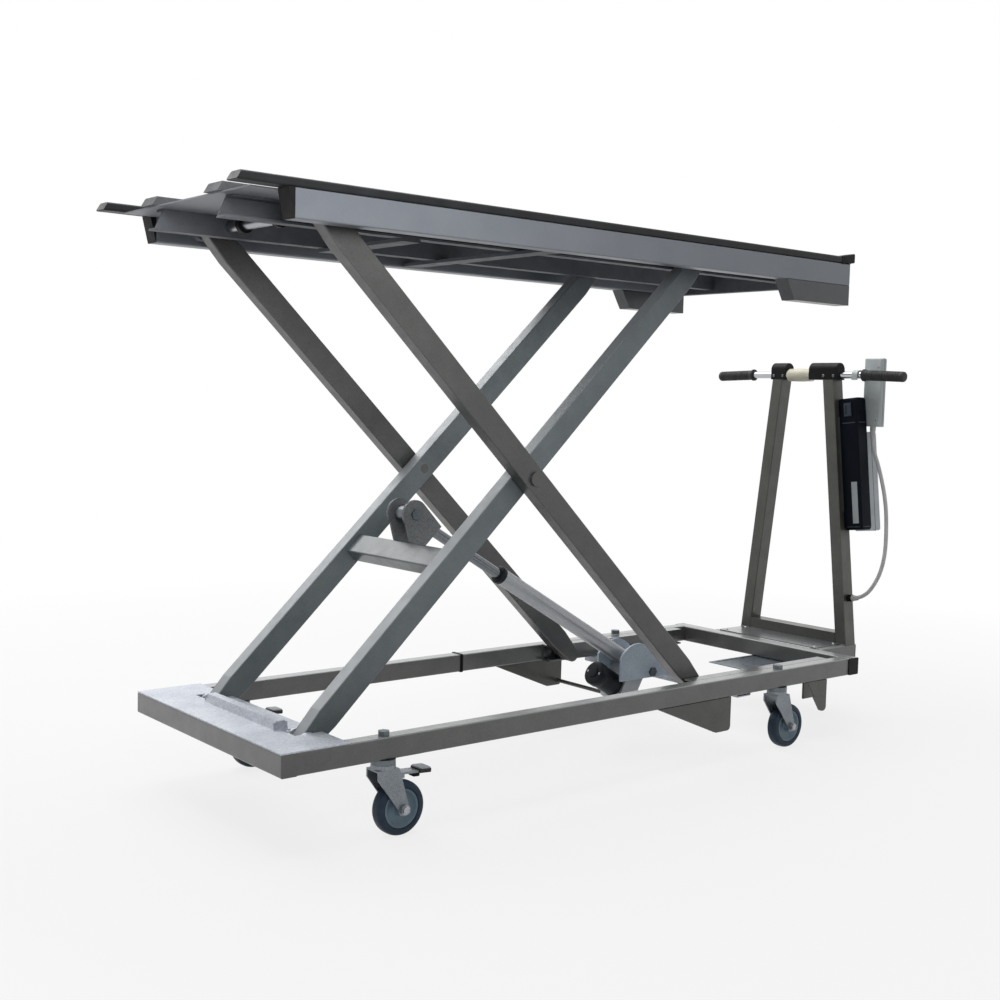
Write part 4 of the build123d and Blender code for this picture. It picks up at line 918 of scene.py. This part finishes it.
# Power pack on the left post: battery seams, latch and bare label plate, control box seam and screws
BATTERY_FRONT = -0.005
BATTERY_REAR = 0.045
PACK_INNER = -0.024
BATTERY_OUTER = -0.089
BATTERY_CORNER = 0.012
BATTERY_SEAMS = (("lower", -0.198, 0.0022), ("upper", 0.128, 0.0030))
SEAM_PROUD = 0.0006
LATCH_LOW = (BATTERY_FRONT - 0.0040, -0.070, 0.150)
LATCH_HIGH = (BATTERY_FRONT + 0.0004, -0.043, 0.192)
LATCH_RIM = 0.0050
LATCH_DEPTH = 0.0022
LABEL_HALF = 0.065
LABEL_MIDDLE = -0.121
LABEL_START = -0.056
LABEL_LIFT = 0.0003
LABEL_THICKNESS = 0.0005
LABEL_WRAP = radians(62)
BOX_FRONT = 0.047
BOX_REAR = 0.105
BOX_OUTER = -0.080
BOX_MIDDLE = -0.056
BOX_HALF = 0.156
BOX_SEAM_HALF = 0.0008
BOX_SCREW_RADIUS = 0.0042
BOX_SCREW_MARGIN = 0.022
BOX_SCREW_Y = (-0.038, -0.066)


def battery_trim():
    for name, height, thickness in BATTERY_SEAMS:
        low = (BATTERY_FRONT - SEAM_PROUD, BATTERY_OUTER - SEAM_PROUD, height)
        high = (BATTERY_REAR + SEAM_PROUD, PACK_INNER, height + thickness)
        band = blank(f"battery_seam_{name}", low, high)
        open_mesh(band)
        pick_upright_edges(band)
        bpy.ops.mesh.bevel(offset=BATTERY_CORNER + SEAM_PROUD / 2, segments=6, profile=0.5, affect="EDGES")
        close_mesh()
        band.matrix_world = PACK
        settle(band, "base", latch_grey)
    # Partly painted highlight: the latch plate's paler grey stands in for the highlight near the battery's
    # top.
    latch = block("battery_latch", LATCH_LOW, LATCH_HIGH, rounding=0.0016)
    step_panel(latch, lambda middle, normal: normal.x < -0.99, LATCH_RIM, (LATCH_DEPTH, 0, 0))
    latch.matrix_world = PACK
    settle(latch, "base", latch_grey)


def battery_label():
    """A bare plate that runs over the battery's front face and bends round its outer corner."""
    face_x = BATTERY_FRONT - LABEL_LIFT
    bend = (BATTERY_FRONT + BATTERY_CORNER, BATTERY_OUTER + BATTERY_CORNER, LABEL_MIDDLE)
    plate = loose_point("battery_label")
    draw_out([
        (face_x, LABEL_START, LABEL_MIDDLE - LABEL_HALF), (face_x, LABEL_START, LABEL_MIDDLE + LABEL_HALF)
    ])
    bpy.ops.mesh.extrude_edges_move(TRANSFORM_OT_translate={"value": (0, bend[1] - LABEL_START, 0)})
    bpy.ops.mesh.spin(steps=6, angle=LABEL_WRAP, center=bend, axis=(0, 0, 1))
    bpy.ops.mesh.select_all(action="SELECT")
    bpy.ops.mesh.remove_doubles(threshold=SAME_POINT)
    close_mesh()
    thicken(plate, LABEL_THICKNESS)
    plate.matrix_world = PACK
    settle(plate, "base", label_pale)


def control_box_trim():
    middle = (BOX_FRONT + BOX_REAR) / 2
    reach = BOX_HALF + SEAM_PROUD
    band = block(
        "control_box_seam", (middle - BOX_SEAM_HALF, BOX_OUTER - SEAM_PROUD, BOX_MIDDLE - reach),
        (middle + BOX_SEAM_HALF, PACK_INNER, BOX_MIDDLE + reach), rounding=0.0003, segments=1,
    )
    band.matrix_world = PACK
    settle(band, "base", mark_dark)
    screw = screw_head("control_box_screw", BOX_SCREW_RADIUS)
    places = [
        PACK @ pointed((BOX_REAR, y, BOX_MIDDLE + end * (BOX_HALF - BOX_SCREW_MARGIN)), (1, 0, 0))
        for end in (-1, 1) for y in BOX_SCREW_Y
    ]
    settle(set_of("control_box_screws", screw, places), "base", shaft_steel)


# Handset: parting line, back screws, button bezels and arrow marks
HANDSET_FRONT = POST_X + 0.050
HANDSET_REAR = POST_X + 0.078
HANDSET_LOW = 0.918
HANDSET_HIGH = 1.131
HANDSET_HALF = 0.0325
HANDSET_SEAM_HALF = 0.0007
HANDSET_PROUD = 0.0003
HANDSET_SCREW_RADIUS = 0.0034
HANDSET_SCREWS = ((-0.020, 0.940), (0.020, 0.940), (-0.020, 1.105))
BUTTONS = (("up", 1), ("down", -1))
BUTTON_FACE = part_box("up_button")[1].x
BEZEL = [
    (-0.0004, 0.0106), (0.0010, 0.0108), (0.0014, 0.0116), (0.0010, 0.0132), (-0.0004, 0.0138),
    (-0.0004, 0.0106),
]
ARROW_RADIUS = 0.0055
ARROW_THICKNESS = 0.0006
ARROW_LIFT = 0.0002


def arrow_mark(name):
    """A flat triangle with softened upper edges."""
    clear_selection()
    bpy.ops.mesh.primitive_cylinder_add(
        vertices=3, radius=ARROW_RADIUS, depth=ARROW_THICKNESS, location=(0, 0, 0), end_fill_type="NGON"
    )
    arrow = new_piece(name)
    open_mesh(arrow)
    pick_faces(arrow, looks_up)
    bpy.ops.mesh.bevel(offset=0.0002, segments=2, affect="EDGES")
    close_mesh()
    return arrow


def handset_trim():
    half = HANDSET_HALF + HANDSET_PROUD
    seam = block(
        "handset_seam", (HANDSET_X - HANDSET_SEAM_HALF, HANDSET_Y - half, HANDSET_LOW - HANDSET_PROUD),
        (HANDSET_X + HANDSET_SEAM_HALF, HANDSET_Y + half, HANDSET_HIGH + HANDSET_PROUD),
        rounding=0.0003, segments=1,
    )
    settle(seam, "base", mark_dark)
    screw = screw_head("handset_screw", HANDSET_SCREW_RADIUS)
    places = [pointed((HANDSET_FRONT, HANDSET_Y + y, z), (-1, 0, 0)) for y, z in HANDSET_SCREWS]
    settle(set_of("handset_screws", screw, places), "base", shaft_steel)
    round_bezel = turned("bezel", BEZEL)
    mark = arrow_mark("arrow")
    for button, way in BUTTONS:
        low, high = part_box(f"{button}_button")
        z = (low.z + high.z) / 2
        bezel = copy_of(round_bezel, f"{button}_bezel")
        bezel.matrix_world = pointed((HANDSET_REAR, HANDSET_Y, z), (1, 0, 0))
        settle(bezel, "base", mark_dark)
        arrow = copy_of(mark, f"{button}_arrow")
        upright = Matrix.Rotation(pi / 2, 4, "Y") @ Matrix.Rotation(way * pi / 2, 4, "Z")
        arrow.matrix_world = Matrix.Translation((BUTTON_FACE + ARROW_LIFT, HANDSET_Y, z)) @ upright
        settle(arrow, f"{button}_key", mark_dark, smooth=20)
    put_away(round_bezel, mark)


# Cable reliefs: tapered ribbed sleeves where the cable leaves the handset and enters the gland
RELIEFS = (
    ("handset_relief", CABLE_ROUTE[0], (0, 0, -1), 0.0086, 0.026),
    ("gland_relief", CABLE_ROUTE[-1], POST_OUT, 0.0095, 0.020),
)
RELIEF_BORE = CABLE_RADIUS - 0.0005
RELIEF_TIP = CABLE_RADIUS + 0.0006
RELIEF_LIP = CABLE_RADIUS + 0.0002
RELIEF_RINGS = 5
RELIEF_RING = ((0.09, 0.0003), (0.10, -0.0008), (0.17, -0.0008), (0.18, 0.0))


def cable_reliefs():
    for name, place, along, wide, length in RELIEFS:
        profile = [(0.0, RELIEF_BORE), (0.0, wide)]
        for ring in range(RELIEF_RINGS):
            radius = wide + (RELIEF_TIP - wide) * (ring + 0.5) / RELIEF_RINGS
            start = length * ring / RELIEF_RINGS
            profile += [(start + length * share, radius + out) for share, out in RELIEF_RING]
        profile += [(length, RELIEF_LIP), (length, RELIEF_BORE), profile[0]]
        sleeve = turned(name, profile, steps=32)
        sleeve.matrix_world = pointed(place, along)
        settle(sleeve, "base", cable_pale, smooth=50)


# Actuator: motor end cap with its screws, and the wiper ring at the tube's mouth
ACTUATOR_FOOT = Vector((at(1.400), 0.0, 0.196))
ACTUATOR_AXIS = Vector((-0.8674, 0.0, 0.4978)).normalized()
ACTUATOR_UP = Vector((ACTUATOR_AXIS.z, 0.0, -ACTUATOR_AXIS.x))
MOTOR_OFFSET = 0.084
MOTOR_END = 0.167
MOTOR_RADIUS = 0.033
MOTOR_CAP = [
    (-0.026, MOTOR_RADIUS - 0.001), (-0.026, 0.0344), (-0.0245, 0.0350), (-0.0035, 0.0350),
    (-0.0005, 0.0335), (0.0015, 0.0290), (0.0020, 0.0160), (0.0050, 0.0150), (0.0056, 0.0130),
    (0.0056, 0.0), (0.0004, 0.0),
]
MOTOR_SCREW_RADIUS = 0.0034
MOTOR_SCREW_Y = 0.0230
MOTOR_SCREW_LIFT = 0.0016
TUBE_END = 0.632
TUBE_RADIUS = 0.0225
WIPER_BORE = 0.0146
WIPER = [
    (-0.012, TUBE_RADIUS), (-0.012, TUBE_RADIUS + 0.0016), (-0.0105, TUBE_RADIUS + 0.0022),
    (-0.0010, TUBE_RADIUS + 0.0022), (0.0010, TUBE_RADIUS), (0.0032, 0.0175), (0.0032, WIPER_BORE),
    (0.0002, WIPER_BORE), (0.0002, TUBE_RADIUS), (-0.012, TUBE_RADIUS),
]


def actuator_trim():
    motor_end = ACTUATOR_FOOT - ACTUATOR_UP * MOTOR_OFFSET + ACTUATOR_AXIS * MOTOR_END
    cap = turned("motor_cap", MOTOR_CAP, steps=56)
    cap.matrix_world = pointed(motor_end, ACTUATOR_AXIS)
    settle(cap, "actuator", motor_black)
    screw = screw_head("motor_screw", MOTOR_SCREW_RADIUS)
    seat = motor_end + ACTUATOR_AXIS * MOTOR_SCREW_LIFT
    places = [pointed(seat + side * Vector((0, MOTOR_SCREW_Y, 0)), ACTUATOR_AXIS) for side, hand in SIDES]
    settle(set_of("motor_screws", screw, places), "actuator", shaft_steel)
    ring = turned("rod_wiper", WIPER, steps=56)
    ring.matrix_world = pointed(ACTUATOR_FOOT + ACTUATOR_AXIS * TUBE_END, ACTUATOR_AXIS)
    settle(ring, "actuator", motor_black)


# Table: rubber stops at the rear ends of the edge bars
STOP_LENGTH = 0.050
STOP_HEIGHT = 0.031
STOP_WIDTH = 0.032
STOP_LAP = 0.001
STOP_BASE = 0.004
STOP_PAST = 0.0015
STOP_NOSE = 0.006
STOP_WAIST = 0.016
STOP_SLOPE = (-0.012, 0, -0.010)


def bar_stops():
    low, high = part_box("edge_bars")
    front = high.x - STOP_LENGTH
    half = STOP_WIDTH / 2 + STOP_LAP
    pattern = block(
        "bar_stop", (front, -half, low.z + STOP_BASE),
        (high.x + STOP_PAST, half, low.z + STOP_HEIGHT), rounding=0.004, segments=4,
    )

    def on_front_edge(middle, normal):
        return middle.x < front + STOP_NOSE and middle.z > low.z + STOP_WAIST

    open_mesh(pattern)
    pick_faces(pattern, on_front_edge)
    bpy.ops.transform.translate(value=STOP_SLOPE)
    close_mesh()
    for side, hand in SIDES:
        stop = copy_of(pattern, f"bar_stop_{hand}")
        stop.location.y = side * (high.y - STOP_WIDTH / 2)
        settle(stop, "table", cap_black, smooth=50)
    put_away(pattern)


# Fasteners: screws on the tail plate and the clamps
TAIL_SCREW_RADIUS = 0.0050
TAIL_SCREW_SIDE = 0.015
TAIL_SCREW_END = 0.016
CLAMP_SCREW_RADIUS = 0.0048
CLAMP_SCREW_Z = 0.012
CLAMP_SCREW_Y = (-0.118, -0.080, 0.082, 0.118)


def fasteners():
    screw = screw_head("tail_plate_screw", TAIL_SCREW_RADIUS)
    low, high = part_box("tail_deck_plate")
    places = [
        pointed((x, side * (high.y - TAIL_SCREW_SIDE), high.z), (0, 0, 1))
        for x in (low.x + TAIL_SCREW_END, high.x - TAIL_SCREW_END) for side, hand in SIDES
    ]
    settle(set_of("tail_plate_screws", screw, places), "base", shaft_steel)
    screw = screw_head("clamp_screw", CLAMP_SCREW_RADIUS)
    low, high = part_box("handlebar_clamps")
    places = [
        pointed((x, y, low.z + CLAMP_SCREW_Z), (way, 0, 0))
        for x, way in ((low.x, -1), (high.x, 1)) for y in CLAMP_SCREW_Y
    ]
    settle(set_of("clamp_screws", screw, places), "base", caster_zinc)


# Weld beads where the posts stand on the tail tubes and along the skid plates
BEAD_RADIUS = 0.0034
BEAD_PITCH = 0.00365
POST_WELD = 0.036
POST_WELD_LIFT = 0.0005
SKID_WELDS = ((1.150, 1.380), (1.742, 1.812))
SKID_WELD_Y = RAIL_OUTER - 0.0065


def weld_bead(name, run):
    """A rippled bead along the Z axis, from the origin."""
    ripples = int(run / BEAD_PITCH)
    profile = [(0.0, 0.0), (0.0006, BEAD_RADIUS * 0.7)]
    for ripple in range(ripples):
        middle = run * (ripple + 0.5) / ripples
        profile.append((middle - run * 0.25 / ripples, BEAD_RADIUS))
        profile.append((middle + run * 0.35 / ripples, BEAD_RADIUS * 0.84))
    profile += [(run - 0.0004, BEAD_RADIUS * 0.7), (run, 0.0)]
    return turned(name, profile, steps=10)


def lay_bead(pattern, name, start, along):
    bead = copy_of(pattern, name)
    bead.matrix_world = pointed(start, along)
    settle(bead, "base", post_paint, smooth=60)


def weld_beads():
    post_bead = weld_bead("post_weld", POST_WELD)
    skid_beads = [weld_bead("skid_weld", rear - front) for front, rear in SKID_WELDS]
    z = POST_FOOT_Z + POST_WELD_LIFT
    for side, hand in SIDES:
        y = side * POST_FOOT_Y - POST_WELD / 2
        for face, end in ((-1, "front"), (1, "rear")):
            x = POST_X + face * POST_DEPTH / 2
            lay_bead(post_bead, f"post_weld_{hand}_{end}", (x, y, z), (0, 1, 0))
        for number, (front, rear) in enumerate(SKID_WELDS):
            start = (at(front), side * SKID_WELD_Y, RAIL_BOTTOM)
            lay_bead(skid_beads[number], f"skid_weld_{hand}_{number + 1}", start, (1, 0, 0))
    put_away(post_bead, *skid_beads)


# Cable tie round the right rail
TIE_STATION = 0.977
TIE_WIDTH = 0.009
TIE_PROUD = 0.0014
TIE_RIM = 0.0012
TIE_HEAD = 0.0030


def rail_tie():
    x = at(TIE_STATION)
    inner = RAIL_OUTER - RAIL_WIDTH
    tie = block(
        "rail_tie", (x - TIE_WIDTH / 2, inner - TIE_PROUD, RAIL_BOTTOM - TIE_PROUD),
        (x + TIE_WIDTH / 2, RAIL_OUTER + TIE_PROUD, RAIL_TOP + TIE_PROUD), rounding=0.0006, segments=2,
    )
    step_panel(tie, lambda middle, normal: normal.y < -0.99, TIE_RIM, (0, -TIE_HEAD, 0))
    settle(tie, "base", cap_black)


caster_wheels()
axle_nuts()
toe_strips()
ridge_ends()
skid_webs()
corner_tray()
pedal_shoes()
grips()
bar_sleeve()
battery_trim()
battery_label()
control_box_trim()
handset_trim()
cable_reliefs()
actuator_trim()
bar_stops()
fasteners()
weld_beads()
rail_tie()


# Floor, backdrop and light
FLOOR_SIZE = 60.0
FLOOR_GREY = 0.62
FLOOR_NEAR = 1.6
FLOOR_FAR = 3.6
FLOOR_GLOW = 0.80
WORLD_LIGHT = 0.32


def seen_directly(tree):
    """1 for rays that show the background, straight or in a reflection, and 0 for rays of light."""
    path = tree.nodes.new("ShaderNodeLightPath")
    seen = path.outputs["Is Camera Ray"]
    for ray in ("Is Transmission Ray", "Is Glossy Ray"):
        either = tree.nodes.new("ShaderNodeMath")
        either.operation = "MAXIMUM"
        tree.links.new(seen, either.inputs[0])
        tree.links.new(path.outputs[ray], either.inputs[1])
        seen = either.outputs["Value"]
    return seen


def lay_floor():
    clear_selection()
    bpy.ops.mesh.primitive_plane_add(size=FLOOR_SIZE, location=(0, 0, 0))
    floor = new_piece("floor")
    material, tree, shader, place = new_material("studio_floor")
    shader.inputs["Base Color"].default_value = grey(FLOOR_GREY)
    shader.inputs["Roughness"].default_value = 0.9
    reach = tree.nodes.new("ShaderNodeVectorMath")
    reach.operation = "LENGTH"
    tree.links.new(place, reach.inputs[0])
    share = between(tree, reach.outputs["Value"], FLOOR_GLOW, 1.0, start=FLOOR_NEAR, end=FLOOR_FAR)
    shown = tree.nodes.new("ShaderNodeMath")
    shown.operation = "MULTIPLY"
    tree.links.new(seen_directly(tree), shown.inputs[0])
    tree.links.new(share, shown.inputs[1])
    glow = tree.nodes.new("ShaderNodeEmission")
    glow.inputs["Strength"].default_value = 1.0
    blend = tree.nodes.new("ShaderNodeMixShader")
    tree.links.new(shown.outputs["Value"], blend.inputs["Fac"])
    tree.links.new(shader.outputs["BSDF"], blend.inputs[1])
    tree.links.new(glow.outputs["Emission"], blend.inputs[2])
    tree.links.new(blend.outputs["Shader"], tree.nodes["Material Output"].inputs["Surface"])
    floor.data.materials.append(material)


def softbox(name, place, target, size, power, spread=180):
    data = bpy.data.lights.new(name, "AREA")
    data.shape = "RECTANGLE"
    data.size, data.size_y = size
    data.energy = power
    data.spread = radians(spread)
    lamp = bpy.data.objects.new(name, data)
    scene.collection.objects.link(lamp)
    lamp.location = place
    lamp.rotation_euler = (Vector(target) - Vector(place)).to_track_quat("-Z", "Y").to_euler()


def light_studio():
    world = bpy.data.worlds.new("studio")
    scene.world = world
    world.use_nodes = True
    tree = world.node_tree
    back = tree.nodes["Background"]
    back.inputs["Color"].default_value = grey(1.0)
    level = between(tree, seen_directly(tree), WORLD_LIGHT, 1.0, start=0.0, end=1.0)
    tree.links.new(level, back.inputs["Strength"])
    softbox("overhead", (-0.3, 0.4, 4.4), target=(-0.1, 0.0, 0.6), size=(4.4, 3.2), power=150.0)
    softbox("far_side", (-0.3, 4.6, 5.0), target=(0.0, 0.0, 0.8), size=(5.6, 4.0), power=150.0)
    softbox(
        "table_light", (-1.7, -2.0, 1.7), target=(-0.9, -0.35, 1.36), size=(0.9, 0.8), power=5.0, spread=50
    )


lay_floor()
light_studio()
